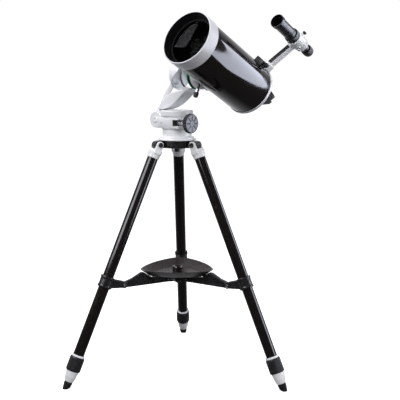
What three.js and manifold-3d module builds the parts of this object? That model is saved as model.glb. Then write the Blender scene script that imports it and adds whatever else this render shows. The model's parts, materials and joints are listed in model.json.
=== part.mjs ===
// Small catadioptric telescope on a one-armed altazimuth head and a tube-leg tripod.
// Millimetres, +Z up. The azimuth axis is vertical and the feet stand on z = 0.
import * as THREE from 'three';
import { mergeVertices } from 'three/addons/utils/BufferGeometryUtils.js';
import Module from 'manifold-3d';

const wasm = await Module();
wasm.setup();

// ---------- driving dimensions ----------
const GAP = 0.3;                     // clearance between pieces that touch
const DEG = Math.PI / 180;

const FOOT_RADIUS = 360;             // azimuth axis to each foot, on the floor
const PIVOT_RADIUS = 63;             // azimuth axis to each leg hinge
const PIVOT_HEIGHT = 687;
const FIRST_LEG_HEADING = 86.9 * DEG;
const LEG_OUTER_RADIUS = 16;
const LEG_INNER_RADIUS = 13.6;
const TUBE_START = 42;               // distances down the leg from its hinge
const TUBE_END = 663;
const COLLAR_AT = 424;
const GRIP_START = 652;
const GRIP_END = 694;
const CAP_END = 727;
const INNER_START = 240;

const ARM_PIVOT_RADIUS = 177;        // spreader arm hinge on the leg collar
const ARM_PIVOT_HEIGHT = 283.5;
const HUB_PIVOT_RADIUS = 35;         // spreader arm end under the tray
const TRAY_FLOOR = 298;
const TRAY_RIM = 319.5;
const TRAY_CORNER_RADIUS = 118;
const TRAY_SIDE_RADIUS = 90;

const HEAD_HEADING = -42.3 * DEG;    // heading of the altitude axis
const BASE_TOP = 731;                // height of the azimuth bearing
const DISC_TOP = 786;
const TILT_RADIUS = -62;             // arm hinge, along the altitude axis direction
const TILT_HEIGHT = 757;
const ALTITUDE_HEIGHT = 888;
const RING_AT = 82;                  // front of the green ring, along the altitude axis
const WORM_HEIGHT = 751;
const WORM_OFFSET = -28;

const TUBE_ELEVATION = 27.3 * DEG;
const TUBE_AXIS_AT = 206;            // tube axis from the azimuth axis
const TUBE_RADIUS = 72.5;
const FRONT_LENGTH = 213;            // altitude axis to the front rim
const REAR_LENGTH = 93;              // altitude axis to the back of the rear cell
const FINDER_ANGLE = 57 * DEG;       // round the tube, from the altitude axis direction
const FINDER_RADIUS = 189;
const FINDER_FRONT = -11;
const FINDER_RING = 101;
const FINDER_REAR = 170;

// ---------- derived dimensions ----------
const LEG_ANGLE = Math.atan2(FOOT_RADIUS - PIVOT_RADIUS, PIVOT_HEIGHT);
const LEG_LENGTH = Math.hypot(FOOT_RADIUS - PIVOT_RADIUS, PIVOT_HEIGHT);
const legHeading = (k) => FIRST_LEG_HEADING + (k - 1) * 120 * DEG;

// ---------- finishes ----------
const finish = (color, roughness, metalness) =>
  new THREE.MeshStandardMaterial({ color, roughness, metalness });
const WHITE = finish(0xe9ebee, 0.35, 0.1);
const GLOSS_BLACK = finish(0x141110, 0.15, 0.3);
const BLACK_PLASTIC = finish(0x17171a, 0.5, 0);
const BLACK_TUBE = finish(0x121214, 0.3, 0.4);
const RUBBER = finish(0x101010, 0.9, 0);
const STEEL = finish(0xb4b6ba, 0.3, 1);
const GREEN = finish(0x0f8a45, 0.35, 0.6);
const GREY_PLASTIC = finish(0x54565c, 0.5, 0);
const GLASS = finish(0x5c6c78, 0.05, 0);
const MIRROR = finish(0xd8dce0, 0.05, 1);
const ALUMINIUM = finish(0xa9adb2, 0.35, 1);

// ---------- solids ----------

// Merges shared corners, drops triangles with no area and turns the faces outwards.
function closed(geometry) {
  const bare = geometry.clone();
  bare.deleteAttribute('normal');
  bare.deleteAttribute('uv');
  const merged = mergeVertices(bare, 1e-4);
  const index = merged.index.array;
  const kept = [];
  for (let i = 0; i < index.length; i += 3) {
    const [a, b, c] = [index[i], index[i + 1], index[i + 2]];
    if (a !== b && b !== c && c !== a) kept.push(a, b, c);
  }
  const p = (i) => new THREE.Vector3().fromBufferAttribute(merged.attributes.position, i);
  let volume = 0;
  for (let i = 0; i < kept.length; i += 3) {
    volume += p(kept[i]).dot(p(kept[i + 1]).cross(p(kept[i + 2])));
  }
  if (volume < 0) kept.reverse();
  merged.setIndex(kept);
  return merged;
}

function toSolid(geometry) {
  const g = closed(geometry);
  return new wasm.Manifold(new wasm.Mesh({
    numProp: 3,
    vertProperties: new Float32Array(g.attributes.position.array),
    triVerts: new Uint32Array(g.index.array),
  }));
}

function fromSolid(solid) {
  const mesh = solid.getMesh();
  const g = new THREE.BufferGeometry();
  g.setAttribute('position', new THREE.BufferAttribute(new Float32Array(mesh.vertProperties), 3));
  g.setIndex([...mesh.triVerts]);
  return g;
}

function join(first, ...rest) {
  return fromSolid(rest.reduce((sum, g) => sum.add(toSolid(g)), toSolid(first)));
}

function cut(first, ...tools) {
  return fromSolid(tools.reduce((sum, g) => sum.subtract(toSolid(g)), toSolid(first)));
}

// Revolves [radius, z] points about Z. The outline starts and ends on the axis, or closes.
function turned(outline, segments = 20) {
  const points = outline.map(([r, z]) => new THREE.Vector2(r, z));
  return closed(new THREE.LatheGeometry(points, segments).rotateX(Math.PI / 2));
}

function pipe(outer, inner, low, high, segments = 20) {
  return turned([[inner, low], [outer, low], [outer, high], [inner, high], [inner, low]], segments);
}

function rod(radius, low, high, segments = 12) {
  return turned([[0, low], [radius, low], [radius, high], [0, high]], segments);
}

function block(x0, x1, y0, y1, z0, z1) {
  return new THREE.BoxGeometry(x1 - x0, y1 - y0, z1 - z0)
    .translate((x0 + x1) / 2, (y0 + y1) / 2, (z0 + z1) / 2);
}

// Extrudes an outline of [x, z] points along Y, between two values of y.
function slab(shape, y0, y1, curveSegments = 6) {
  const g = new THREE.ExtrudeGeometry(shape, { depth: y1 - y0, bevelEnabled: false, curveSegments });
  return g.rotateX(Math.PI / 2).translate(0, y1, 0);
}

const alongX = (g) => g.rotateY(Math.PI / 2);
const alongY = (g) => g.rotateX(-Math.PI / 2);

// A knob with chamfered rims.
function knob(radius, low, high, segments = 14) {
  const chamfer = 1.5;
  return turned([[0, low], [radius - chamfer, low], [radius, low + chamfer], [radius, high - chamfer],
    [radius - chamfer, high], [0, high]], segments);
}

// The same knob with a ring of finger flutes cut into its rim.
function flutedKnob(radius, low, high, flutes) {
  const grooves = [];
  for (let i = 0; i < flutes; i += 1) {
    const angle = (i + 0.5) * 2 * Math.PI / flutes;
    grooves.push(rod(radius * 0.12, low - 1, high + 1, 5)
      .translate(radius * 1.04 * Math.cos(angle), radius * 1.04 * Math.sin(angle), 0));
  }
  return cut(knob(radius, low, high, 24), ...grooves);
}

const object = new THREE.Group();

function part(group, name, geometry, material) {
  const mesh = new THREE.Mesh(geometry, material);
  mesh.name = name;
  group.add(mesh);
  return mesh;
}

// ---------- tripod head plate and leg hinges ----------
const HUB_TOP = 699;
const HUB_BOTTOM = 677;
const TONGUE_HALF = 11.5;
const PRONG_INNER = 12.1;
const PRONG_OUTER = 20;
const BOLT_RADIUS = 3.5;

function tripodHub() {
  const profile = new THREE.Shape();
  profile.moveTo(20, HUB_BOTTOM);
  profile.lineTo(74, HUB_BOTTOM);
  profile.lineTo(78, HUB_BOTTOM + 4);
  profile.lineTo(78, HUB_TOP - 8);
  profile.quadraticCurveTo(78, HUB_TOP, 70, HUB_TOP);
  profile.lineTo(20, HUB_TOP);
  let hub = turned([[0, HUB_BOTTOM], [46, HUB_BOTTOM], [50, HUB_BOTTOM + 3], [50, HUB_TOP], [0, HUB_TOP]], 32);
  for (let k = 1; k <= 3; k += 1) {
    const tongue = slab(profile, -TONGUE_HALF, TONGUE_HALF, 4);
    // flank recesses leave room for the two prongs of the leg bracket
    const recess = (side) => block(44, 80, side > 0 ? TONGUE_HALF : -PRONG_OUTER - 1.5,
      side > 0 ? PRONG_OUTER + 1.5 : -TONGUE_HALF, HUB_BOTTOM - 1, HUB_TOP + 1);
    const bolt = alongY(rod(BOLT_RADIUS + GAP, -40, 40, 10)).translate(PIVOT_RADIUS, 0, PIVOT_HEIGHT);
    hub = cut(hub, recess(1).rotateZ(legHeading(k)), recess(-1).rotateZ(legHeading(k)));
    hub = join(hub, tongue.rotateZ(legHeading(k)));
    hub = cut(hub, bolt.rotateZ(legHeading(k)));
  }
  return cut(hub, rod(4 + GAP, HUB_BOTTOM - 1, HUB_TOP + 1, 10));
}

part(object, 'tripod_hub', tripodHub(), BLACK_PLASTIC);
part(object, 'centre_lock_knob', join(
  rod(4, 672, 708, 10),
  knob(7.5, 664, 675),
), BLACK_PLASTIC);

function legBracket() {
  const prongEnd = 10;
  const prong = (y0, y1) => join(
    alongY(rod(prongEnd, y0, y1, 14)),
    block(-prongEnd, prongEnd, y0, y1, -26, 0),
  );
  const body = turned([[0, -62], [14, -62], [14, -TUBE_START + GAP], [17.2, -TUBE_START + GAP],
    [18.4, -34], [20.4, -20], [19, -16], [0, -16]], 20);
  const bolt = alongY(rod(BOLT_RADIUS + GAP, -40, 40, 10));
  return cut(join(body, prong(PRONG_INNER, PRONG_OUTER), prong(-PRONG_OUTER, -PRONG_INNER)), bolt);
}

function pivotBolt() {
  const head = PRONG_OUTER + GAP;
  return alongY(turned([[0, -head - 4], [6.5, -head - 4], [7, -head], [BOLT_RADIUS, -head],
    [BOLT_RADIUS, head], [7, head], [6.5, head + 4], [0, head + 4]], 10));
}

// ---------- legs ----------

// The clip round the leg and the two cheeks that carry the spreader arm's hinge.
function legCollar() {
  const frame = new THREE.Matrix4().makeRotationY(-LEG_ANGLE)
    .setPosition(PIVOT_RADIUS, 0, PIVOT_HEIGHT).invert();
  const pivot = new THREE.Vector3(ARM_PIVOT_RADIUS, 0, ARM_PIVOT_HEIGHT).applyMatrix4(frame);
  const cheek = new THREE.Shape();
  cheek.moveTo(-12, -COLLAR_AT + 14);
  cheek.lineTo(pivot.x + 3, pivot.z + 9);
  cheek.absarc(pivot.x, pivot.z, 9, Math.PI * 0.4, Math.PI * 1.5, false);
  cheek.lineTo(-12, -COLLAR_AT - 16);
  cheek.closePath();
  const clip = rod(LEG_OUTER_RADIUS + 4, -COLLAR_AT - 17, -COLLAR_AT + 17, 20);
  const slot = block(-24, 0, -1.4, 1.4, -COLLAR_AT - 20, -COLLAR_AT + 20).translate(40, 0, 0);
  const bore = rod(LEG_OUTER_RADIUS + GAP, -COLLAR_AT - 20, -COLLAR_AT + 20, 20);
  const pin = alongY(rod(2.2, -12, 12, 8)).translate(pivot.x, 0, pivot.z);
  const cheeks = join(clip, slab(cheek, 6.6, 10.5, 6), slab(cheek, -10.5, -6.6, 6), pin);
  return cut(cheeks, bore, slot);
}

function twistGrip() {
  const seat = LEG_OUTER_RADIUS + GAP;
  const bore = LEG_INNER_RADIUS + GAP;
  return turned([[bore, -GRIP_END], [20.5, -GRIP_END], [21.5, -GRIP_END + 2], [21.5, -GRIP_START - 2],
    [19.5, -GRIP_START], [seat, -GRIP_START], [seat, -TUBE_END - 1], [bore, -TUBE_END - 1],
    [bore, -GRIP_END]], 20);
}

// The inner leg tube with the tapered white cap that closes its lower end.
function legInner() {
  const capTop = -GRIP_END - GAP;
  return turned([[LEG_INNER_RADIUS - 1.6, -INNER_START], [LEG_INNER_RADIUS, -INNER_START],
    [LEG_INNER_RADIUS, capTop], [18.5, capTop], [18.5, capTop - 5], [17, capTop - 7],
    [17, capTop - 12], [13.2, -CAP_END], [0, -CAP_END], [0, -CAP_END + 8],
    [LEG_INNER_RADIUS - 1.6, -CAP_END + 10], [LEG_INNER_RADIUS - 1.6, -INNER_START]], 20);
}

function footTip() {
  const tip = turned([[0, -CAP_END - GAP], [11.5, -CAP_END - GAP], [12, -CAP_END - 5],
    [10.5, -LEG_LENGTH + 6], [9, -LEG_LENGTH - 4], [0, -LEG_LENGTH - 4]], 16);
  const floor = block(FOOT_RADIUS - 80, FOOT_RADIUS + 80, -80, 80, -60, 0);
  const frame = new THREE.Matrix4().makeRotationY(-LEG_ANGLE)
    .setPosition(PIVOT_RADIUS, 0, PIVOT_HEIGHT).invert();
  return cut(tip, floor.applyMatrix4(frame));
}

// A deep gusset from the hinge on the leg to the hub under the tray.
function spreaderArm() {
  const shape = new THREE.Shape();
  const [r1, z1] = [ARM_PIVOT_RADIUS, ARM_PIVOT_HEIGHT];
  const [r0, z0] = [HUB_PIVOT_RADIUS, ARM_PIVOT_HEIGHT];
  shape.moveTo(r0, z0 - 7.5);
  shape.lineTo(r1 - 3, z1 - 8.5);
  shape.absarc(r1, z1, 8.5, -Math.PI / 2, Math.PI / 2, false);
  shape.lineTo(TRAY_CORNER_RADIUS + 4, TRAY_RIM - 6);
  shape.lineTo(TRAY_CORNER_RADIUS - 5, TRAY_RIM - 6);
  shape.lineTo(TRAY_CORNER_RADIUS - 32, TRAY_FLOOR - 2);
  shape.lineTo(r0 + 8, z0 + 7.5);
  shape.lineTo(r0, z0 + 7.5);
  shape.absarc(r0, z0, 7.5, Math.PI / 2, Math.PI * 1.5, false);
  const pin = alongY(rod(2.2 + GAP, -12, 12, 8)).translate(r1, 0, z1);
  return cut(slab(shape, -6, 6, 8), pin);
}

for (let k = 1; k <= 3; k += 1) {
  const radial = new THREE.Group();
  radial.rotation.z = legHeading(k);
  object.add(radial);
  const leg = new THREE.Group();
  leg.position.set(PIVOT_RADIUS, 0, PIVOT_HEIGHT);
  leg.rotation.y = -LEG_ANGLE;
  radial.add(leg);
  part(leg, `leg_bracket_${k}`, legBracket(), WHITE);
  part(leg, `leg_pivot_bolt_${k}`, pivotBolt(), BLACK_PLASTIC);
  part(leg, `leg_tube_${k}`, pipe(LEG_OUTER_RADIUS, LEG_OUTER_RADIUS - 1.4, -TUBE_END, -TUBE_START, 24),
    BLACK_TUBE);
  part(leg, `leg_collar_${k}`, legCollar(), BLACK_PLASTIC);
  part(leg, `twist_grip_${k}`, twistGrip(), BLACK_PLASTIC);
  part(leg, `leg_inner_${k}`, legInner(), ALUMINIUM);
  part(leg, `foot_tip_${k}`, footTip(), RUBBER);
  part(radial, `spreader_arm_${k}`, spreaderArm(), BLACK_PLASTIC);
}

// ---------- spreader hub and tray ----------
const TRAY_WALL = 2.2;
const TRAY_KNOB_RADIUS = 15;
const TRAY_BOSS_TOP = TRAY_FLOOR + TRAY_WALL + 2;

// A triangle with rounded corners towards the legs and slightly bowed sides, moved in by shrink.
function trayOutline(shrink) {
  const corner = 40;
  const toCorner = TRAY_CORNER_RADIUS - corner;
  const toSide = TRAY_SIDE_RADIUS - corner;
  const bow = (toCorner ** 2 - toSide ** 2) / (2 * toSide - toCorner);
  const sideRadius = bow + TRAY_SIDE_RADIUS;
  const middle = new THREE.Vector2();
  const corners = [0, 1, 2].map((i) => new THREE.Vector2(toCorner, 0).rotateAround(middle, i * 120 * DEG));
  const outline = [];
  const addArc = (centre, radius, from, to, steps) => {
    for (let i = 0; i < steps; i += 1) {
      const angle = from + (to - from) * i / steps;
      outline.push(new THREE.Vector2(radius, 0).rotateAround(middle, angle).add(centre));
    }
  };
  const half = Math.atan2(toCorner * Math.sin(60 * DEG), bow + toCorner * Math.cos(60 * DEG));
  for (let i = 0; i < 3; i += 1) {
    const turn = i * 120 * DEG;
    const sideFrom = turn + 60 * DEG - half;
    const sideCentre = new THREE.Vector2(-bow, 0).rotateAround(new THREE.Vector2(), turn + 60 * DEG);
    addArc(corners[i], corner - shrink, turn - 60 * DEG + half, sideFrom, 7);
    addArc(sideCentre, sideRadius - shrink, sideFrom, turn + 60 * DEG + half, 5);
  }
  return outline;
}

// A loft between two tray outlines, closed by flat ends.
function trayLoft(lowShrink, lowZ, highShrink, highZ) {
  const low = trayOutline(lowShrink);
  const high = trayOutline(highShrink);
  const count = low.length;
  const positions = [];
  low.forEach((p) => positions.push(p.x, p.y, lowZ));
  high.forEach((p) => positions.push(p.x, p.y, highZ));
  positions.push(0, 0, lowZ, 0, 0, highZ);
  const index = [];
  for (let i = 0; i < count; i += 1) {
    const j = (i + 1) % count;
    index.push(i, j, count + j, i, count + j, count + i);
    index.push(2 * count, j, i, 2 * count + 1, count + i, count + j);
  }
  const g = new THREE.BufferGeometry();
  g.setAttribute('position', new THREE.BufferAttribute(new Float32Array(positions), 3));
  g.setIndex(index);
  return g;
}

function accessoryTray() {
  const outside = trayLoft(30, TRAY_FLOOR, 0, TRAY_RIM);
  const inside = trayLoft(30 + TRAY_WALL, TRAY_FLOOR + TRAY_WALL, TRAY_WALL - 1.2, TRAY_RIM + 1);
  const boss = rod(TRAY_KNOB_RADIUS + 0.5, TRAY_FLOOR + 1, TRAY_BOSS_TOP, 20);
  const hole = rod(4 + GAP, TRAY_FLOOR - 1, TRAY_BOSS_TOP + 1, 10);
  return cut(join(cut(outside, inside), boss), hole).rotateZ(FIRST_LEG_HEADING);
}

part(object, 'accessory_tray', accessoryTray(), BLACK_PLASTIC);
part(object, 'spreader_hub', turned([[4 + GAP, 272], [9, 272], [9, 293.6], [16, 293.6],
  [16, TRAY_FLOOR - GAP], [4 + GAP, TRAY_FLOOR - GAP], [4 + GAP, 272]], 20), BLACK_PLASTIC);
part(object, 'tray_knob', join(
  rod(4, 268, TRAY_BOSS_TOP + 6, 10),
  knob(TRAY_KNOB_RADIUS, TRAY_BOSS_TOP + GAP, TRAY_BOSS_TOP + 18),
), BLACK_PLASTIC);

// ---------- altazimuth head: fixed pedestal ----------
part(object, 'azimuth_base', turned([[4 + GAP, HUB_TOP + GAP], [57, HUB_TOP + GAP], [57, 702],
  [50.5, 704], [50.5, 709], [44, 711], [43, 715], [43, BASE_TOP], [0, BASE_TOP], [0, 712],
  [4 + GAP, 712], [4 + GAP, HUB_TOP + GAP]], 32), WHITE);

// ---------- altazimuth head: turning part ----------
// In this group X runs along the altitude axis towards the tube and Z is up.
const head = new THREE.Group();
head.rotation.z = HEAD_HEADING;
object.add(head);

const EAR_INNER = 17.3;
const EAR_OUTER = 26;
const EAR_RADIUS = 24;
const HOUSING_TOP = 766;
const KNOB_RADIUS = 28.5;
const WORM_SHAFT_RADIUS = 5;

function azimuthHousing() {
  const drum = turned([[0, BASE_TOP + GAP], [44, BASE_TOP + GAP], [46, BASE_TOP + 3], [46, HOUSING_TOP],
    [0, HOUSING_TOP]], 32);
  const wormBox = block(-38, 46, -46, -12, BASE_TOP + 4, HOUSING_TOP - 1);
  const ear = (y0, y1) => join(
    alongY(rod(EAR_RADIUS, y0, y1, 20)).translate(TILT_RADIUS, 0, TILT_HEIGHT),
    block(TILT_RADIUS, -30, y0, y1, TILT_HEIGHT - 20, TILT_HEIGHT + 8),
  );
  const solid = join(drum, wormBox, ear(EAR_INNER, EAR_OUTER), ear(-EAR_OUTER, -EAR_INNER));
  const recess = alongY(rod(EAR_RADIUS + 1, -EAR_INNER, EAR_INNER, 20)).translate(TILT_RADIUS, 0, TILT_HEIGHT);
  const shaft = alongX(rod(WORM_SHAFT_RADIUS + 1, -20, 60, 10)).translate(0, WORM_OFFSET, WORM_HEIGHT);
  const pocket = block(24, 60, -60, WORM_OFFSET + 10, WORM_HEIGHT - 9, WORM_HEIGHT + 9);
  const bolt = alongY(rod(5 + GAP, -40, 40, 10)).translate(TILT_RADIUS, 0, TILT_HEIGHT);
  return cut(solid, recess, shaft, pocket, bolt);
}

function azimuthDisc() {
  const disc = turned([[0, HOUSING_TOP + GAP], [45, HOUSING_TOP + GAP], [45, 769], [48, 770],
    [48, DISC_TOP - 3], [46.5, DISC_TOP], [0, DISC_TOP]], 32);
  const notch = alongY(rod(EAR_RADIUS + 1.2, -EAR_OUTER - 1, EAR_OUTER + 1, 20))
    .translate(TILT_RADIUS, 0, TILT_HEIGHT);
  return cut(disc, notch);
}

part(head, 'azimuth_housing', azimuthHousing(), WHITE);
part(head, 'azimuth_disc', azimuthDisc(), WHITE);
part(head, 'tilt_bolt', alongY(rod(5, -EAR_OUTER + 0.5, EAR_OUTER - 0.5, 14))
  .translate(TILT_RADIUS, 0, TILT_HEIGHT), WHITE);

// Worm shaft and slow-motion knob, both turning about the same line.
function wormShaft(start, end) {
  return turned([[0, start], [WORM_SHAFT_RADIUS - 1, start], [WORM_SHAFT_RADIUS, start + 1],
    [WORM_SHAFT_RADIUS, end - 12], [3.5, end - 12], [3.5, end], [0, end]], 10);
}

const KNOB_THICKNESS = 13;
const KNOB_FACE = 84;
const KNOB_BACK = KNOB_FACE - KNOB_THICKNESS;
part(head, 'azimuth_worm_shaft', alongX(wormShaft(-16, KNOB_BACK + 8))
  .translate(0, WORM_OFFSET, WORM_HEIGHT), STEEL);
part(head, 'azimuth_knob', alongX(cut(flutedKnob(KNOB_RADIUS, KNOB_BACK, KNOB_FACE, 10),
  rod(3.5 + GAP, KNOB_BACK - 1, KNOB_BACK + 8 + GAP, 10),
)).translate(0, WORM_OFFSET, WORM_HEIGHT), BLACK_PLASTIC);

// ---------- altitude arm ----------
const HOUSING_BACK = 12;
const HOUSING_RADIUS = 42;
const COWL_RADIUS = 44.5;
const WORM2_HEIGHT = ALTITUDE_HEIGHT + 30;
const WORM2_AT = 42;

// The arm is a wide curved beam under the housing and a thin strut up to the cowl behind it.
function altitudeArm() {
  const beam = new THREE.Shape();
  beam.moveTo(-54, DISC_TOP + 5);
  beam.lineTo(-50, DISC_TOP + 0.8);
  beam.lineTo(-36, DISC_TOP + 0.8);
  beam.quadraticCurveTo(8, 796, 40, 829);
  beam.quadraticCurveTo(54, 842, 72, 848);
  beam.lineTo(72, 864);
  beam.lineTo(46, 864);
  beam.lineTo(43, 843);
  beam.quadraticCurveTo(10, 841, -19, 827);
  beam.quadraticCurveTo(-40, 814, -54, DISC_TOP + 5);
  const strut = new THREE.Shape();
  strut.moveTo(-54, DISC_TOP + 4);
  strut.quadraticCurveTo(-44, 812, -29, 832);
  strut.lineTo(9, 882);
  strut.lineTo(9, 864);
  strut.lineTo(-17, 832);
  strut.lineTo(-32, DISC_TOP + 6);
  strut.closePath();
  const neckShape = new THREE.Shape();
  neckShape.moveTo(-84, TILT_HEIGHT + 5);
  neckShape.quadraticCurveTo(-72, DISC_TOP - 2, -54, DISC_TOP + 10);
  neckShape.lineTo(-40, DISC_TOP + 10);
  neckShape.lineTo(-40, DISC_TOP + 0.8);
  neckShape.lineTo(-49, DISC_TOP + 0.8);
  neckShape.lineTo(-49, TILT_HEIGHT + 8);
  neckShape.closePath();
  const neck = slab(neckShape, -EAR_INNER + 0.5, EAR_INNER - 0.5, 4);
  const knuckle = alongY(rod(EAR_RADIUS - 1, -EAR_INNER + 0.5, EAR_INNER - 0.5, 20))
    .translate(TILT_RADIUS, 0, TILT_HEIGHT);
  const onAxis = (g) => alongX(g).translate(0, 0, ALTITUDE_HEIGHT);
  const seat = onAxis(rod(HOUSING_RADIUS + GAP, HOUSING_BACK - 2 * GAP, 90, 32));
  const flangeSeat = onAxis(rod(HOUSING_RADIUS + 1.5 + GAP, 65, 90, 32));
  const cradle = cut(slab(beam, -26, 26, 6), seat, flangeSeat);
  const cover = onAxis(turned([[0, -4], [12, -3.2], [26, 0], [36, 4], [COWL_RADIUS - 1, 9],
    [COWL_RADIUS, HOUSING_BACK], [COWL_RADIUS, 46], [HOUSING_RADIUS + GAP, 46],
    [HOUSING_RADIUS + GAP, HOUSING_BACK - GAP], [0, HOUSING_BACK - GAP]], 32));
  // the cowl wraps the back of the housing and is cut off along a slope
  const slope = new THREE.Shape();
  slope.moveTo(HOUSING_BACK - GAP, 862);
  slope.lineTo(HOUSING_BACK - GAP, 820);
  slope.lineTo(80, 820);
  slope.lineTo(80, 946);
  slope.closePath();
  const bolt = alongY(rod(5 + GAP, -40, 40, 10)).translate(TILT_RADIUS, 0, TILT_HEIGHT);
  const wormClearance = block(WORM2_AT - 15, 50, -2, 60, WORM2_HEIGHT - 15, WORM2_HEIGHT + 20);
  const cowl = cut(cover, slab(slope, -60, 60), wormClearance);
  return cut(join(cradle, slab(strut, -22, -15.5, 6), knuckle, neck, cowl), bolt);
}

function altitudeHousing() {
  const drum = alongX(turned([[0, HOUSING_BACK], [HOUSING_RADIUS, HOUSING_BACK], [HOUSING_RADIUS, 46],
    [39, 47.5], [39, 52], [HOUSING_RADIUS, 54], [HOUSING_RADIUS, 66], [HOUSING_RADIUS + 1.5, 69],
    [HOUSING_RADIUS + 1.5, RING_AT - 6], [0, RING_AT - 6]], 32)).translate(0, 0, ALTITUDE_HEIGHT);
  const wormBox = block(WORM2_AT - 14, WORM2_AT + 14, 0, 46, WORM2_HEIGHT - 14, WORM2_HEIGHT + 14);
  const shaft = alongY(rod(WORM_SHAFT_RADIUS + 1, -16, 60, 10)).translate(WORM2_AT, 0, WORM2_HEIGHT);
  const axle = alongX(rod(10 + GAP, 40, RING_AT, 14)).translate(0, 0, ALTITUDE_HEIGHT);
  return cut(join(drum, wormBox), shaft, axle);
}

part(head, 'altitude_arm', altitudeArm(), WHITE);
part(head, 'altitude_housing', altitudeHousing(), WHITE);
part(head, 'altitude_ring', alongX(pipe(42.5, 10 + GAP, RING_AT - 6 + GAP, RING_AT, 28))
  .translate(0, 0, ALTITUDE_HEIGHT), GREEN);
const KNOB2_BACK = 62;
part(head, 'altitude_worm_shaft', alongY(wormShaft(-14, KNOB2_BACK + 8))
  .translate(WORM2_AT, 0, WORM2_HEIGHT), STEEL);
part(head, 'altitude_knob', alongY(cut(flutedKnob(KNOB_RADIUS, KNOB2_BACK, KNOB2_BACK + KNOB_THICKNESS, 10),
  rod(3.5 + GAP, KNOB2_BACK - 1, KNOB2_BACK + 8 + GAP, 10),
)).translate(WORM2_AT, 0, WORM2_HEIGHT), BLACK_PLASTIC);

// ---------- optical tube, turning about the altitude axis ----------
// In this group X runs along the altitude axis, -Y is where the tube points and Z is its up side.
const scope = new THREE.Group();
scope.position.set(0, 0, ALTITUDE_HEIGHT);
scope.rotation.x = -TUBE_ELEVATION;
head.add(scope);

const SADDLE_FLOOR = 107;
const BAR_TOP = 123;
const SCREW_Y = -14;

function dovetailOutline(grow, x0, x1) {
  const shape = new THREE.Shape();
  shape.moveTo(x0, -22 - grow);
  shape.lineTo(x1, -17 - grow);
  shape.lineTo(x1, 17 + grow);
  shape.lineTo(x0, 22 + grow);
  shape.closePath();
  return shape;
}

// The saddle turns with the altitude axle and holds the bar between a fixed lip and a jaw.
function saddle() {
  const disc = alongX(turned([[0, 50], [10, 50], [10, RING_AT + GAP], [38, RING_AT + GAP], [41, 86],
    [41, 102], [39, SADDLE_FLOOR - GAP], [0, SADDLE_FLOOR - GAP]], 32));
  const lip = block(SADDLE_FLOOR - 5, 118, -34, 34, 15, 32);
  const tail = block(SADDLE_FLOOR - 5, 118, -34, 34, -33, -29.5);
  const groove = slab(dovetailOutline(GAP, SADDLE_FLOOR - GAP, 126), -60, 60);
  const jawSlot = block(SADDLE_FLOOR - GAP, 120, -24, 24, -29.8, -10);
  const screw = rod(3.2 + GAP, -40, -20, 10).translate(112, SCREW_Y, 0);
  return cut(join(disc, lip, tail), groove, jawSlot, screw);
}

function clampJaw() {
  const body = block(SADDLE_FLOOR, 118, -23.5, 23.5, -26.5, -15);
  const screwHole = rod(3.2 + GAP, -30, -21, 10).translate(112, SCREW_Y, 0);
  return cut(body, slab(dovetailOutline(GAP, SADDLE_FLOOR - GAP, 126), -60, 60), screwHole);
}

function saddleScrew() {
  return join(rod(3.2, -66, -27, 10), knob(7, -76, -62)).translate(112, SCREW_Y, 0);
}

// Dovetail bar with a curved foot at each end against the tube.
function dovetailBar() {
  const bar = slab(dovetailOutline(0, SADDLE_FLOOR, BAR_TOP), -98, 66);
  const front = block(BAR_TOP - 4, 145, -98, -66, -15, 15);
  const rear = block(BAR_TOP - 4, 145, 36, 66, -15, 15);
  const tube = alongY(rod(TUBE_RADIUS + GAP, -120, 120, 40)).translate(TUBE_AXIS_AT, 0, 0);
  return cut(join(bar, front, rear), tube);
}

part(scope, 'saddle', saddle(), WHITE);
part(scope, 'clamp_jaw', clampJaw(), BLACK_PLASTIC);
part(scope, 'saddle_screw', saddleScrew(), STEEL);
part(scope, 'dovetail_bar', dovetailBar(), BLACK_TUBE);

const optics = new THREE.Group();
optics.position.set(TUBE_AXIS_AT, 0, 0);
scope.add(optics);

const CELL_RADIUS = 75.5;
const CELL_LENGTH = 38;
const MOUTH_RADIUS = 72.6;
const CELL_REAR = -FRONT_LENGTH + CELL_LENGTH;
const REAR_CELL_START = REAR_LENGTH - 9;
const LENS_RADIUS = 64;
const LENS_FRONT = -FRONT_LENGTH + 26;

part(optics, 'tube', alongY(pipe(TUBE_RADIUS, TUBE_RADIUS - 1.6, CELL_REAR + GAP, REAR_CELL_START - GAP, 40)),
  GLOSS_BLACK);
part(optics, 'front_cell', alongY(turned([[MOUTH_RADIUS, -FRONT_LENGTH], [CELL_RADIUS - 0.6, -FRONT_LENGTH],
  [CELL_RADIUS, -FRONT_LENGTH + 1], [CELL_RADIUS, CELL_REAR], [61, CELL_REAR], [61, LENS_FRONT + 9],
  [LENS_RADIUS + GAP, LENS_FRONT + 9], [LENS_RADIUS + GAP, LENS_FRONT], [66.5, LENS_FRONT],
  [MOUTH_RADIUS, -FRONT_LENGTH]], 40)), WHITE);
part(optics, 'corrector_lens', alongY(turned([[0, LENS_FRONT + 6], [20, LENS_FRONT + 5.4],
  [40, LENS_FRONT + 3.8], [LENS_RADIUS - 4, LENS_FRONT + 0.6], [LENS_RADIUS, LENS_FRONT + 0.6],
  [LENS_RADIUS, LENS_FRONT + 8.6], [LENS_RADIUS - 4, LENS_FRONT + 8.6], [40, LENS_FRONT + 12.4],
  [20, LENS_FRONT + 14.6], [0, LENS_FRONT + 15.4]], 28)), GLASS);

const FOCUS_X = -38;
const FOCUS_Z = 38;
const HOLDER_BORE = 16.2;
const HOLDER_END = REAR_LENGTH + 35;

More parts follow.
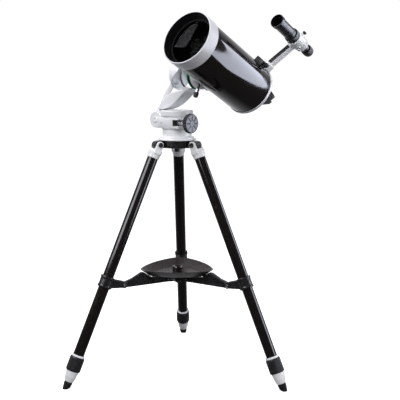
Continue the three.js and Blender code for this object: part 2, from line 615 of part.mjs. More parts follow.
// The back plate of the tube, with the eyepiece holder on its axis.
function rearCell() {
  const cell = alongY(turned([[17, REAR_CELL_START], [TUBE_RADIUS + 1.5, REAR_CELL_START],
    [TUBE_RADIUS + 1.5, REAR_LENGTH - 1.5], [TUBE_RADIUS, REAR_LENGTH], [30, REAR_LENGTH],
    [27, REAR_LENGTH + 5],
    [27, REAR_LENGTH + 15], [22, REAR_LENGTH + 17], [22, HOLDER_END - 1], [21, HOLDER_END],
    [HOLDER_BORE, HOLDER_END], [HOLDER_BORE, REAR_LENGTH + 3], [17, REAR_LENGTH + 3],
    [17, REAR_CELL_START]], 40));
  const hole = alongY(rod(3 + GAP, REAR_CELL_START - 5, REAR_LENGTH + 5, 10)).translate(FOCUS_X, 0, FOCUS_Z);
  return cut(cell, hole);
}
part(optics, 'rear_cell', rearCell(), WHITE);
part(optics, 'baffle_tube', alongY(turned([[13.5, -50], [15, -50], [15, REAR_CELL_START],
  [16.7, REAR_CELL_START], [16.7, REAR_LENGTH], [13.5, REAR_LENGTH], [13.5, -50]], 20)), BLACK_PLASTIC);
part(optics, 'primary_mirror', alongY(turned([[15.5, 48], [40, 47], [66, 44], [66, 60], [15.5, 60],
  [15.5, 48]], 28)), MIRROR);
part(optics, 'focus_knob', alongY(join(rod(3, REAR_CELL_START - 8, REAR_LENGTH + 10, 10),
  knob(12, REAR_LENGTH + 3, REAR_LENGTH + 31, 18))).translate(FOCUS_X, 0, FOCUS_Z), GREY_PLASTIC);

// ---------- star diagonal ----------
// In this group Z is the way the eyepiece would point, to the finder's side of the tube.
const DIAGONAL_ANGLE = 45 * DEG;
const DIAGONAL_TURN = 155; // altitude axis to where the light turns
const DIAGONAL_HALF_WIDTH = 17.5;
const SOCKET_RADIUS = 18.5;
const SOCKET_END = 34;
const LIGHT_PATH_RADIUS = 13;
const diagonal = new THREE.Group();
diagonal.rotation.y = Math.PI / 2 - DIAGONAL_ANGLE;
optics.add(diagonal);

function starDiagonal() {
  const barrel = alongY(rod(HOLDER_BORE - 0.6, REAR_LENGTH + 8, 140, 24));
  const collar = alongY(rod(SOCKET_RADIUS, HOLDER_END + GAP, 136, 24));
  const side = new THREE.Shape();
  side.moveTo(133, -16);
  side.lineTo(141, -18);
  side.lineTo(DIAGONAL_TURN + 17, 9);
  side.lineTo(DIAGONAL_TURN + 17, 19);
  side.lineTo(133, 19);
  side.closePath();
  const housing = slab(side, -DIAGONAL_HALF_WIDTH, DIAGONAL_HALF_WIDTH).rotateZ(Math.PI / 2);
  const socket = rod(SOCKET_RADIUS, 15, SOCKET_END, 24).translate(0, DIAGONAL_TURN, 0);
  const pathIn = alongY(rod(LIGHT_PATH_RADIUS, REAR_LENGTH, DIAGONAL_TURN, 16));
  const pathOut = turned([[0, -6], [LIGHT_PATH_RADIUS, -6], [LIGHT_PATH_RADIUS, 8], [HOLDER_BORE, 8],
    [HOLDER_BORE, SOCKET_END + 1], [0, SOCKET_END + 1]], 24).translate(0, DIAGONAL_TURN, 0);
  return cut(join(barrel, collar, housing, socket), pathIn, pathOut);
}
part(diagonal, 'star_diagonal', starDiagonal(), GREY_PLASTIC);

// ---------- finder ----------
// In this group Z points away from the tube axis and -Y is where the finder points.
const finder = new THREE.Group();
finder.rotation.y = Math.PI / 2 - FINDER_ANGLE;
optics.add(finder);

const SHOE_FRONT = 38;
const SHOE_REAR = 60.5;
const SHOE_TOP = TUBE_RADIUS + 14;
const RING_FRONT = FINDER_RING - 21;
const RING_REAR = FINDER_RING + 29;
const AIMING_SCREW_TURNS = [0, -120];

function wedge(grow, y0, y1) {
  const shape = new THREE.Shape();
  shape.moveTo(-12 - grow, TUBE_RADIUS + 5 - grow);
  shape.lineTo(12 + grow, TUBE_RADIUS + 5 - grow);
  shape.lineTo(9 + grow, SHOE_TOP + 1);
  shape.lineTo(-9 - grow, SHOE_TOP + 1);
  shape.closePath();
  return slab(shape, y0, y1);
}

function finderShoe() {
  const base = block(-16, 16, SHOE_FRONT, SHOE_REAR, TUBE_RADIUS - 4, SHOE_TOP);
  const tube = alongY(rod(TUBE_RADIUS + GAP, 0, 110, 40));
  const screw = alongX(rod(2.2 + GAP, 8, 30, 8)).translate(0, (SHOE_FRONT + SHOE_REAR) / 2, TUBE_RADIUS + 9);
  return cut(base, tube, wedge(GAP, SHOE_FRONT + 3, SHOE_REAR + 10), screw);
}

// Tongue in the shoe, foot on the tube, straight stalk and tapered ring of the finder bracket.
function finderBracket() {
  const tongue = wedge(0, SHOE_FRONT + 4, SHOE_REAR + 4);
  const foot = block(-13, 13, SHOE_REAR + GAP, REAR_LENGTH - 1, TUBE_RADIUS - 4, 92);
  const tube = alongY(rod(TUBE_RADIUS + GAP, 0, 110, 40));
  const rearRim = alongY(rod(TUBE_RADIUS + 1.5 + GAP, REAR_CELL_START - GAP, 110, 40));
  const stalk = new THREE.Shape();
  stalk.moveTo(74, 88);
  stalk.lineTo(92, 88);
  stalk.lineTo(FINDER_RING + 7, FINDER_RADIUS - 16);
  stalk.lineTo(FINDER_RING - 11, FINDER_RADIUS - 16);
  stalk.closePath();
  const web = slab(stalk, -8, 8).rotateZ(Math.PI / 2);
  const ring = alongY(turned([[0, RING_FRONT], [22.5, RING_FRONT], [23, RING_FRONT + 2], [23, RING_FRONT + 20],
    [20.5, RING_REAR - 10], [18.5, RING_REAR], [0, RING_REAR]], 28)).translate(0, 0, FINDER_RADIUS);
  const bore = alongY(turned([[0, RING_FRONT - 5], [19.5, RING_FRONT - 5], [19.5, RING_REAR - 12],
    [16.2, RING_REAR - 10], [16.2, RING_REAR + 5], [0, RING_REAR + 5]], 24)).translate(0, 0, FINDER_RADIUS);
  const screws = AIMING_SCREW_TURNS.map((turn) => rod(2.2 + GAP, 12, 40, 8)
    .rotateY(turn * DEG).translate(0, FINDER_RING, FINDER_RADIUS));
  return cut(join(tongue, foot, web, ring), tube, rearRim, bore, ...screws);
}

part(finder, 'finder_shoe', finderShoe(), BLACK_PLASTIC);
part(finder, 'finder_bracket', finderBracket(), WHITE);
part(finder, 'shoe_screw', alongX(join(rod(2.2, 12.6, 28, 8), knob(6.5, 19, 29)))
  .translate(0, (SHOE_FRONT + SHOE_REAR) / 2, TUBE_RADIUS + 9), BLACK_PLASTIC);
AIMING_SCREW_TURNS.forEach((turn, i) => {
  part(finder, `finder_screw_${i + 1}`, join(rod(2.2, 15.4, 31, 8), knob(5.5, 26, 33))
    .rotateY(turn * DEG).translate(0, FINDER_RING, FINDER_RADIUS), BLACK_PLASTIC);
});
part(finder, 'finder_tube', alongY(turned([[0, FINDER_FRONT + 56], [13.2, FINDER_FRONT + 56],
  [13.2, FINDER_FRONT + 62 + GAP], [17.5, FINDER_FRONT + 62 + GAP], [17.5, FINDER_FRONT + 74],
  [20.5, FINDER_FRONT + 76], [20.5, FINDER_FRONT + 87], [19, FINDER_FRONT + 88.5], [14.8, FINDER_FRONT + 89],
  [14.8, FINDER_REAR - 42], [12.5, FINDER_REAR - 40], [12.5, FINDER_REAR - 24 - GAP],
  [0, FINDER_REAR - 24 - GAP]], 24)).translate(0, 0, FINDER_RADIUS), BLACK_TUBE);
part(finder, 'finder_objective', alongY(turned([[17.8, FINDER_FRONT], [19.8, FINDER_FRONT],
  [19.8, FINDER_FRONT + 12], [17.5, FINDER_FRONT + 14], [17.5, FINDER_FRONT + 62],
  [13.2 + GAP, FINDER_FRONT + 62], [13.2 + GAP, FINDER_FRONT + 55], [0, FINDER_FRONT + 55],
  [0, FINDER_FRONT + 34], [15.6, FINDER_FRONT + 32], [16.2, FINDER_FRONT + 10], [17.8, FINDER_FRONT]],
24)).translate(0, 0, FINDER_RADIUS), BLACK_TUBE);
part(finder, 'finder_eyepiece', alongY(turned([[0, FINDER_REAR - 24], [14, FINDER_REAR - 24],
  [15.5, FINDER_REAR - 21], [15.5, FINDER_REAR - 6], [14, FINDER_REAR], [9, FINDER_REAR], [8, FINDER_REAR - 4],
  [0, FINDER_REAR - 4]], 20)).translate(0, 0, FINDER_RADIUS), BLACK_PLASTIC);

// The origin is the centre of the object's footprint box.
object.updateMatrixWorld(true);
const box = new THREE.Box3().setFromObject(object, true);
object.position.set(-(box.min.x + box.max.x) / 2, -(box.min.y + box.max.y) / 2, 0);
object.updateMatrixWorld(true);

export default object;
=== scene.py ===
"""A catadioptric telescope on a one-armed altazimuth head and a tube-leg tripod.

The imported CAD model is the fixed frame. Smooth, detailed pieces stand for its faceted nodes and
ride on its bodies. Each piece is drawn in millimetres in a local frame of its own mechanism.
"""

import json
import math

import bmesh
import bpy
from mathutils import Matrix, Vector


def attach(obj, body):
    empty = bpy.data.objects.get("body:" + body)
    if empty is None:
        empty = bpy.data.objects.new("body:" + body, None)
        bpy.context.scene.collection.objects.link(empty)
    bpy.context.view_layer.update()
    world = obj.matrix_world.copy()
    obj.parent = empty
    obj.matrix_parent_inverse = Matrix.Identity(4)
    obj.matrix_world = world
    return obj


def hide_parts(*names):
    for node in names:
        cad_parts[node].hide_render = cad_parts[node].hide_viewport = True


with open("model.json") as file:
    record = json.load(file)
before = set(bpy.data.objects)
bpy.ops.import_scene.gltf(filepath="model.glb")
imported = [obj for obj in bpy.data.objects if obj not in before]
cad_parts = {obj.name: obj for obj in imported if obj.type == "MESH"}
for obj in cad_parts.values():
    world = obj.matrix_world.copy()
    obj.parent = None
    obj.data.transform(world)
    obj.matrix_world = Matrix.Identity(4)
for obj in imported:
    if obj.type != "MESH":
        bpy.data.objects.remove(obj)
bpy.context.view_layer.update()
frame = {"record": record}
RECORD = frame["record"]
JOINTS = {joint["name"]: joint for joint in RECORD["behaviour"]["joints"]}
BODIES = RECORD["behaviour"]["bodies"]
BODY_OF = {node: body for body, nodes in BODIES.items() for node in nodes}
MM = 0.001
UP = Vector((0, 0, 1))
LEGS = (1, 2, 3)

# ---------- local frames, in millimetres ----------


def local_frame(origin, x_axis, y_axis):
    """A frame at that origin, given in metres, whose Z is X cross Y."""
    x_axis = Vector(x_axis).normalized()
    y_axis = Vector(y_axis).normalized()
    turn = Matrix((x_axis, y_axis, x_axis.cross(y_axis))).transposed().to_4x4()
    return Matrix.Translation(origin) @ turn @ Matrix.Scale(MM, 4)


def joint_at(name):
    return Vector(JOINTS[name]["pos_m"])


def joint_axis(name):
    return Vector(JOINTS[name]["axis"])


def shift(x=0, y=0, z=0):
    return Matrix.Translation((x, y, z))


def spin(degrees, axis):
    return Matrix.Rotation(math.radians(degrees), 4, axis)


ALONG_X = spin(90, "Y")
ALONG_Y = spin(-90, "X")
AXIS_FOOT = Vector((joint_at("azimuth").x, joint_at("azimuth").y, 0))
STAND = local_frame(AXIS_FOOT, (1, 0, 0), (0, 1, 0))
ALTITUDE_AXIS = -joint_axis("altitude")
HEAD = local_frame(AXIS_FOOT, ALTITUDE_AXIS, UP.cross(ALTITUDE_AXIS))
SCOPE = local_frame(joint_at("altitude"), ALTITUDE_AXIS, joint_axis("dovetail_slide"))
TUBE_AT = 206
OPTICS = SCOPE @ shift(x=TUBE_AT)
OPTICS_LATHE = OPTICS @ ALONG_Y  # Z runs back along the tube
FINDER_TURN = 33
FINDER = OPTICS @ spin(FINDER_TURN, "Y")
DIAGONAL_TURN = 45
DIAGONAL = OPTICS @ spin(DIAGONAL_TURN, "Y")
TURN_AT = 155  # along the tube, where the diagonal turns the light
DIAGONAL_BORE = 13.2


def radial_frame(k):
    hinge = joint_axis(f"leg_fold_{k}")
    return local_frame(AXIS_FOOT, hinge.cross(UP), hinge)


def leg_frame(k):
    """Origin at the leg's hinge, with -Z down the leg and +X to its outer side."""
    hinge = joint_axis(f"leg_fold_{k}")
    up_leg = -joint_axis(f"leg_{k}_extension")
    return local_frame(joint_at(f"leg_fold_{k}"), hinge.cross(up_leg), hinge)


# ---------- shapes, as bmesh solids in millimetres ----------


def softened(outline, fillet, closed, steps=4):
    """The outline with each corner rounded by a short curve."""
    points = [Vector(p) for p in outline]
    count = len(points)
    result = []
    for i, corner in enumerate(points):
        if not closed and i in (0, count - 1):
            result.append(corner)
            continue
        before = points[i - 1] - corner
        after = points[(i + 1) % count] - corner
        if before.length < 1e-6 or after.length < 1e-6:
            continue
        angle = before.angle(after)
        if angle > math.radians(172) or fillet <= 0:
            result.append(corner)
            continue
        reach = min(fillet / math.tan(angle / 2), 0.45 * before.length, 0.45 * after.length)
        start = corner + before.normalized() * reach
        end = corner + after.normalized() * reach
        for step in range(steps + 1):
            t = step / steps
            result.append(start.lerp(corner, t).lerp(corner.lerp(end, t), t))
    return result


def skin(bm, low, high):
    """Faces between two rings of vertices, either of which may be a single point."""
    count = max(len(low), len(high))
    for i in range(count):
        j = (i + 1) % count
        corners = [low[i % len(low)], low[j % len(low)], high[j % len(high)], high[i % len(high)]]
        unique = list(dict.fromkeys(corners))
        if len(unique) > 2:
            bm.faces.new(unique)


def turned(outline, fillet=0.8, sides=96, closed=False, shape=None):
    """Revolves (radius, height) points about Z. shape(radius, height, angle) may move each."""
    bm = bmesh.new()
    rings = []
    for radius, height in softened(outline, fillet, closed):
        ring = []
        for i in range(sides if radius > 1e-4 else 1):
            angle = 2 * math.pi * i / sides
            r, h = shape(radius, height, angle) if shape else (radius, height)
            ring.append(bm.verts.new((r * math.cos(angle), r * math.sin(angle), h)))
        rings.append(ring)
    for low, high in zip(rings, rings[1:] + (rings[:1] if closed else [])):
        if low is not high:
            skin(bm, low, high)
    return bm


def pipe(outer, inner, low, high, fillet=0.5, sides=96):
    return turned([(inner, low), (outer, low), (outer, high), (inner, high)], fillet, sides,
        closed=True)


def rod(radius, low, high, fillet=0.5, sides=64):
    return turned([(0, low), (radius, low), (radius, high), (0, high)], fillet, sides)


def prism(outline, low, high, fillet=1.0, bevel=0.8):
    """Extrudes an outline of [x, z] points along Y and rounds its edges."""
    bm = bmesh.new()
    points = softened(outline, fillet, closed=True)
    near = [bm.verts.new((x, low, z)) for x, z in points]
    far = [bm.verts.new((x, high, z)) for x, z in points]
    caps = [bm.faces.new(near), bm.faces.new(list(reversed(far)))]
    skin(bm, near, far)
    bmesh.ops.recalc_face_normals(bm, faces=bm.faces)
    if bevel > 0:
        edges = {edge for cap in caps for edge in cap.edges}
        bmesh.ops.bevel(bm, geom=list(edges), offset=bevel, segments=2, profile=0.5, affect="EDGES",
            clamp_overlap=True)
    return bm


def block(x, y, z, fillet=1.5, bevel=1.0):
    """A box between two values of each of x, y and z, with rounded edges."""
    outline = [(x[0], z[0]), (x[1], z[0]), (x[1], z[1]), (x[0], z[1])]
    return prism(outline, y[0], y[1], fillet, bevel)


def moved(bm, matrix):
    bmesh.ops.transform(bm, matrix=matrix, verts=bm.verts)
    return bm


def merged(*solids):
    """All the solids as one mesh. They may overlap."""
    total = bmesh.new()
    for solid in solids:
        mesh = bpy.data.meshes.new("merging")
        solid.to_mesh(mesh)
        total.from_mesh(mesh)
        bpy.data.meshes.remove(mesh)
    return total


def as_object(bm, name):
    bmesh.ops.recalc_face_normals(bm, faces=bm.faces)
    mesh = bpy.data.meshes.new(name)
    bm.to_mesh(mesh)
    result = bpy.data.objects.new(name, mesh)
    bpy.context.scene.collection.objects.link(result)
    return result


def evaluated(holder, *helpers):
    """The holder's mesh with its modifiers applied, as a bmesh. The objects are then removed."""
    graph = bpy.context.evaluated_depsgraph_get()
    mesh = bpy.data.meshes.new_from_object(holder.evaluated_get(graph))
    result = bmesh.new()
    result.from_mesh(mesh)
    bpy.data.meshes.remove(mesh)
    for spare in (holder, *helpers):
        bpy.data.meshes.remove(spare.data)
    return result


def cast(voxel, smoothing, *solids):
    """The solids run together into one casting with soft inner corners."""
    holder = as_object(merged(*solids), "casting")
    remesh = holder.modifiers.new("remesh", "REMESH")
    remesh.mode = "VOXEL"
    remesh.voxel_size = voxel
    smooth = holder.modifiers.new("smooth", "SMOOTH")
    smooth.factor = 0.5
    smooth.iterations = smoothing
    return evaluated(holder)


def carved(solid, *cutters):
    """The solid less the cutters."""
    holder = as_object(solid, "carving")
    tools = []
    for cutter in cutters:
        tool = as_object(cutter, "cutter")
        cut = holder.modifiers.new("cut", "BOOLEAN")
        cut.operation = "DIFFERENCE"
        cut.solver = "EXACT"
        cut.object = tool
        tools.append(tool)
    return evaluated(holder, *tools)


def ribs(count, depth, inner, sharpness=1.0):
    """A shape that cuts grooves into the rim outside the inner radius."""

    def shape(radius, height, angle):
        wave = 0.5 - 0.5 * math.cos(count * angle)
        return (radius - depth * wave ** sharpness if radius > inner else radius), height

    return shape


def thumb_screw(shank, grip, fillet, sides, rim):
    """A shank of (radius, low, high) with a turned grip, whose rim has those ribs."""
    return merged(rod(*shank), turned(grip, fillet, sides, shape=ribs(*rim)))


# ---------- pieces ----------


def piece(name, place, solid, finish, crease=32):
    """Makes the object. Its mesh holds its place, in metres, and its origin is the frame's."""
    bm = solid.copy()
    bmesh.ops.transform(bm, matrix=place, verts=bm.verts)
    result = as_object(bm, name)
    bm.free()
    result.data.shade_smooth()
    result.data.set_sharp_from_angle(angle=math.radians(crease))
    result.data.materials.append(finish)
    return result


def ride_with(shown, node):
    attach(shown, BODY_OF[node])


def stands_for(node, *look):
    """A piece that replaces the node, and takes its body."""
    shown = piece(*look)
    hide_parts(node)
    ride_with(shown, node)


def goes_with(node, *look):
    """A piece that is a detail of the node."""
    ride_with(piece(*look), node)


# ---------- finishes ----------


class Finish:
    """A Principled material built up from procedural layers."""

    def __init__(self, name, roughness, metallic=0.0, coat=0.0, specular=0.5):
        self.material = bpy.data.materials.new(name)
        self.material.use_nodes = True
        self.nodes = self.material.node_tree.nodes
        self.links = self.material.node_tree.links
        self.shader = self.nodes["Principled BSDF"]
        for socket, value in (("Roughness", roughness), ("Metallic", metallic),
                ("Coat Weight", coat), ("Coat Roughness", 0.08), ("Specular IOR Level", specular)):
            self.shader.inputs[socket].default_value = value
        self.place = self.nodes.new("ShaderNodeTexCoord").outputs["Object"]
        self.height = None

    def noise(self, per_metre, detail):
        """Fractal noise with that many cells to the metre."""
        noise = self.nodes.new("ShaderNodeTexNoise")
        noise.inputs["Scale"].default_value = per_metre
        noise.inputs["Detail"].default_value = detail
        self.links.new(self.place, noise.inputs["Vector"])
        return noise.outputs["Fac"]

    def ramp(self, value, low, high, start=0.35, end=0.65):
        """Maps the value from start to end onto the two colours or numbers."""
        ramp = self.nodes.new("ShaderNodeValToRGB")
        for element, position, colour in zip(ramp.color_ramp.elements, (start, end), (low, high)):
            element.position = position
            element.color = (*colour, 1) if isinstance(colour,
                tuple) else (colour, colour, colour, 1)
        self.links.new(value, ramp.inputs["Fac"])
        return ramp.outputs["Color"]

    def colour(self, value, low, high, start=0.35, end=0.65):
        self.links.new(self.ramp(value, low, high, start, end), self.shader.inputs["Base Color"])

    def roughness(self, value, low, high, start=0.35, end=0.65):
        self.links.new(self.ramp(value, low, high, start, end), self.shader.inputs["Roughness"])

    def bump(self, value, depth_mm):
        """Adds relief of that depth. Later layers lie on the earlier ones."""
        bump = self.nodes.new("ShaderNodeBump")
        bump.inputs["Strength"].default_value = 1.0
        bump.inputs["Distance"].default_value = depth_mm * MM
        self.links.new(value, bump.inputs["Height"])
        if self.height is not None:
            self.links.new(self.height, bump.inputs["Normal"])
        self.height = bump.outputs["Normal"]
        self.links.new(self.height, self.shader.inputs["Normal"])


def enamel(name, light, shade, roughness=0.34, coat=0.25):
    """Sprayed enamel on a casting, with faint orange peel, unevenness and handling marks."""
    finish = Finish(name, roughness, coat=coat)
    finish.colour(finish.noise(14, 4), shade, light)
    finish.roughness(finish.noise(45, 5), roughness - 0.07, roughness + 0.09)
    finish.bump(finish.noise(420, 2), 0.035)
    finish.bump(finish.noise(2600, 1), 0.006)
    return finish.material


def gloss_paint():
    """Deep black gloss, fine dust and very faint waviness. Its brown tint is painted reflection of
    brownish surroundings.
    """
    finish = Finish("gloss_black_paint", 0.08, specular=0.5)
    # near-black colours with a brown tint: the black is the paint's own, the brown tint is painted
    # reflection
    finish.colour(finish.noise(7000, 1), (0.0100, 0.0066, 0.0058), (0.030, 0.025, 0.024), 0.62,
        0.80)
    finish.roughness(finish.noise(30, 5), 0.05, 0.12)
    finish.bump(finish.noise(28, 2), 0.02)
    return finish.material


def tube_enamel(name, dark, light, roughness, specular):
    """Black finish on drawn tube, with faint draw lines and rub marks."""
    finish = Finish(name, roughness, specular=specular)
    finish.colour(finish.noise(60, 4), dark, light)
    finish.roughness(finish.noise(90, 4), roughness - 0.03, roughness + 0.05)
    finish.bump(finish.noise(500, 2), 0.004)
    return finish.material


def moulded(name, dark, light, roughness, grain_per_metre, grain_mm, specular=0.4):
    """Moulded plastic or rubber with a spark-eroded grain."""
    finish = Finish(name, roughness, specular=specular)
    finish.colour(finish.noise(40, 4), dark, light)
    finish.roughness(finish.noise(130, 4), roughness - 0.08, roughness + 0.1)
    finish.bump(finish.noise(grain_per_metre, 2), grain_mm)
    return finish.material


def plated(name, low, high, roughness, per_metre=900):
    """Bright metal with a fine turned grain and slight tarnish."""
    finish = Finish(name, roughness, metallic=1.0)
    finish.colour(finish.noise(50, 4), low, high)
    finish.roughness(finish.noise(per_metre, 3), roughness - 0.08, roughness + 0.12)
    finish.bump(finish.noise(per_metre * 2, 2), 0.008)
    return finish.material


def lens_glass():
    """Multi-coated glass: it hardly reflects, and what it reflects is green."""
    finish = Finish("coated_glass", 0.02, specular=0.25)
    finish.shader.inputs["Transmission Weight"].default_value = 1.0
    finish.shader.inputs["IOR"].default_value = 1.12
    finish.colour(finish.noise(25, 3), (0.26, 0.30, 0.28), (0.30, 0.33, 0.31))
    finish.roughness(finish.noise(350, 4), 0.0, 0.03, 0.5, 0.9)
    return finish.material


WHITE = enamel("white_enamel", (0.88, 0.885, 0.91), (0.84, 0.845, 0.875))
SILVER = enamel("silver_enamel", (0.74, 0.74, 0.77), (0.69, 0.69, 0.725), roughness=0.4, coat=0.15)
GLOSS_BLACK = gloss_paint()
LEG_BLACK = tube_enamel("leg_black", (0.0065, 0.0045, 0.0042), (0.0100, 0.0072, 0.0068), 0.15, 0.45)
METAL_BLACK = tube_enamel("anodised_black", (0.008, 0.008, 0.009), (0.014, 0.014, 0.016), 0.3, 0.5)
FLAT_BLACK = moulded("flat_black", (0.002, 0.002, 0.002), (0.004, 0.004, 0.004), 0.8, 1500, 0.02,
    0.15)
PLASTIC = moulded("black_plastic", (0.011, 0.0105, 0.0115), (0.017, 0.0165, 0.018), 0.42, 2200,
    0.02)
# the tray's black plastic, lighter and browner than the other black plastic: painted light and
# painted brownish reflection on the dish
LIT_TRAY_PLASTIC = moulded("tray_plastic_painted_light", (0.026, 0.020, 0.020), (0.034, 0.027, 0.027), 0.34, 1200,
    0.01, 0.5)
SATIN_PLASTIC = moulded("satin_plastic", (0.010, 0.009, 0.0095), (0.016, 0.015, 0.0155), 0.3, 1200,
    0.01, 0.5)
RUBBER = moulded("rubber", (0.008, 0.008, 0.008), (0.014, 0.014, 0.013), 0.75, 900, 0.04, 0.25)
GREY = moulded("grey_rubber", (0.085, 0.087, 0.097), (0.115, 0.117, 0.13), 0.5, 1600, 0.03)
KNOB_GREY = moulded("knob_grey", (0.27, 0.27, 0.32), (0.33, 0.33, 0.385), 0.38, 1800, 0.02)
CHROME = plated("plated_steel", (0.60, 0.60, 0.62), (0.72, 0.72, 0.74), 0.2)
ALUMINIUM = plated("drawn_aluminium", (0.62, 0.63, 0.65), (0.72, 0.73, 0.75), 0.3, 600)
GREEN = plated("green_anodised", (0.004, 0.17, 0.055), (0.006, 0.23, 0.08), 0.3)
MIRROR = plated("aluminised_glass", (0.70, 0.71, 0.72), (0.76, 0.76, 0.77), 0.1, 200)
GLASS = lens_glass()

# ---------- optical tube ----------
FRONT = -213
CELL_REAR = -175
LENS_FRONT = -187
REAR_CELL = 84
REAR = 93
TUBE_RADIUS = 72.5
CELL_RADIUS = 75.5


def front_cell():
    """The silver outer shell, and the black mouth with its light-trap grooves inside it."""
    shell = turned([(72.7, FRONT), (CELL_RADIUS - 0.8, FRONT), (CELL_RADIUS, FRONT + 1.2),
        (CELL_RADIUS, CELL_REAR - 1.2), (CELL_RADIUS - 0.8, CELL_REAR),
        (TUBE_RADIUS + 0.2, CELL_REAR), (TUBE_RADIUS - 2, CELL_REAR - 3), (69.5, CELL_REAR - 3),
        (69.5, LENS_FRONT)], 0.5, 192, closed=True)
    stands_for("front_cell", "front_cell_shell", OPTICS_LATHE, shell, SILVER)
    groove = 2.4
    mouth = [(69.3, CELL_REAR), (69.3, LENS_FRONT), (72.5, FRONT + 0.3), (72.2, FRONT + 0.3)]
    for i in range(9):
        start = FRONT + 1.2 + i * groove
        step = 71.9 - 0.6 * i
        mouth += [(step, start), (step, start + groove * 0.6), (step - 0.9, start + groove * 0.75)]
    mouth += [(65.8, LENS_FRONT - 1), (64.4, LENS_FRONT - 1), (64.4, LENS_FRONT + 9),
        (61, LENS_FRONT + 9), (61, CELL_REAR)]
    goes_with("front_cell", "front_cell_mouth", OPTICS_LATHE, turned(mouth, 0.2, 160, closed=True),
        FLAT_BLACK)
    ring = pipe(65.6, 60.6, LENS_FRONT - 3.6, LENS_FRONT - 0.2, 0.7, 160)
    goes_with("front_cell", "lens_retaining_ring", OPTICS_LATHE, ring, FLAT_BLACK)


def corrector_lens():
    """A deep meniscus, hollow towards the sky, with a baffle round its silvered spot."""
    rim = 63.9
    steps = 14
    radii = [rim * i / steps for i in range(steps + 1)]
    front = [(r, LENS_FRONT + 6 - 5.6 * (r / rim) ** 2) for r in radii]
    back = [(r, LENS_FRONT + 15.2 - 6.8 * (r / rim) ** 2) for r in reversed(radii)]
    lens = turned(front + back, 0, 128)
    stands_for("corrector_lens", "meniscus_lens", OPTICS_LATHE, lens, GLASS)
    spot = LENS_FRONT + 15.6
    baffle = turned([(0, spot), (17.8, spot), (17.2, spot + 3), (14.5, spot + 26),
        (13.7, spot + 26), (16, spot + 3), (0, spot + 1.2)], 0.3, 96)
    goes_with("corrector_lens", "secondary_baffle", OPTICS_LATHE, baffle, SATIN_PLASTIC)


def tube_and_rear():
    shell = pipe(TUBE_RADIUS, TUBE_RADIUS - 1.6, CELL_REAR - 2.4, REAR_CELL - 0.2, 0.3, 192)
    stands_for("tube", "tube_shell", OPTICS_LATHE, shell, GLOSS_BLACK)
    lining = pipe(TUBE_RADIUS - 1.7, TUBE_RADIUS - 2.1, CELL_REAR + 1, REAR_CELL - 1, 0.1, 128)
    goes_with("tube", "tube_lining", OPTICS_LATHE, lining, FLAT_BLACK)
    rim = turned([(70, REAR_CELL), (74, REAR_CELL), (74, REAR - 2.4), (73, REAR - 0.4),
        (69, REAR - 0.2), (66, REAR - 2.0), (66, REAR_CELL)], 0.9, 192, closed=True)
    stands_for("rear_cell", "rear_cell_rim", OPTICS_LATHE, rim, SILVER)
    plate = carved(turned([(17.2, REAR_CELL + 0.2), (65.8, REAR_CELL + 0.2), (65.8, REAR - 2.4),
        (58, REAR - 1.0), (31, REAR - 0.6), (28.5, REAR + 5), (17.2, REAR + 5)], 1.0, 144,
        closed=True), moved(rod(3.4, REAR_CELL - 5, REAR + 5), shift(FOCUS_X, FOCUS_Z)))
    goes_with("rear_cell", "rear_cell_plate", OPTICS_LATHE, plate, METAL_BLACK)
    for turn in range(3):
        screw = moved(socket_screw(3.4, 2.2), shift(0, 50, REAR - 0.9))
        place = OPTICS_LATHE @ spin(120 * turn + 20, "Z")
        goes_with("rear_cell", f"collimation_screw_{turn + 1}", place, screw, CHROME)
    baffle = turned([(13.5, -50), (15, -50), (15, 40), (16.6, 84), (16.6, REAR), (13.5, REAR)], 0.3,
        96, closed=True)
    stands_for("baffle_tube", "baffle", OPTICS_LATHE, baffle, FLAT_BLACK)
    mirror = turned([(15.6, 48.3), (30, 47.7), (48, 46.3), (66, 44), (66, 60), (15.6, 60)], 0.4,
        128, closed=True)
    stands_for("primary_mirror", "main_mirror", OPTICS_LATHE, mirror, MIRROR)


def socket_screw(radius, height):
    """A round screw head with a recess for a key, standing on z = 0."""
    key = radius * 0.5
    return turned([(0, height * 0.45), (key, height * 0.45), (key, height), (radius * 0.92, height),
        (radius, height * 0.8), (radius, -0.5), (0, -0.5)], 0.25, 48)


FOCUS_X = -38
FOCUS_Z = -38  # in the lathe's own frame, which is turned onto the tube's axis
HOLDER_END = REAR + 35


def rear_fittings():
    """The threaded collar with its eyepiece holder, and the focus knob beside it."""
    place = OPTICS_LATHE
    thread = [(16.2, REAR + 5.3), (26.6, REAR + 5.3)]
    for i in range(4):
        thread += [(27, REAR + 6.2 + 2.2 * i), (26.3, REAR + 7.3 + 2.2 * i)]
    thread += [(26.6, REAR + 15), (22, REAR + 17), (22, HOLDER_END - 1), (21, HOLDER_END),
        (16.2, HOLDER_END)]
    back = turned(thread, 0.35, 120, closed=True, shape=ribs(40, 0.5, 25.8))
    goes_with("rear_cell", "eyepiece_holder", place, back, METAL_BLACK)
    for number, turn in ((1, -60), (2, 60)):
        screw = thumb_screw((2, 16.5, 27), [(0, 25), (4.6, 25), (5, 26), (5, 32), (4.4, 33),
            (0, 33)], 0.5, 60, (18, 0.35, 4.2))
        side = DIAGONAL @ shift(0, REAR + 26, 0) @ spin(180 + turn, "Y")
        goes_with("rear_cell", f"eyepiece_screw_{number}", side, screw, CHROME)
    grip = turned([(0, REAR + 3.2), (10.8, REAR + 3.2), (12, REAR + 4.6), (12, REAR + 27),
        (11, REAR + 30), (8.5, REAR + 30.6), (8, REAR + 29.6), (0, REAR + 29.6)], 0.8, 144,
        shape=ribs(24, 0.9, 10.9))
    knob = merged(grip, rod(3, REAR_CELL - 7, REAR + 5))
    stands_for("focus_knob", "focus_grip", place @ shift(FOCUS_X, FOCUS_Z), knob, GREY)


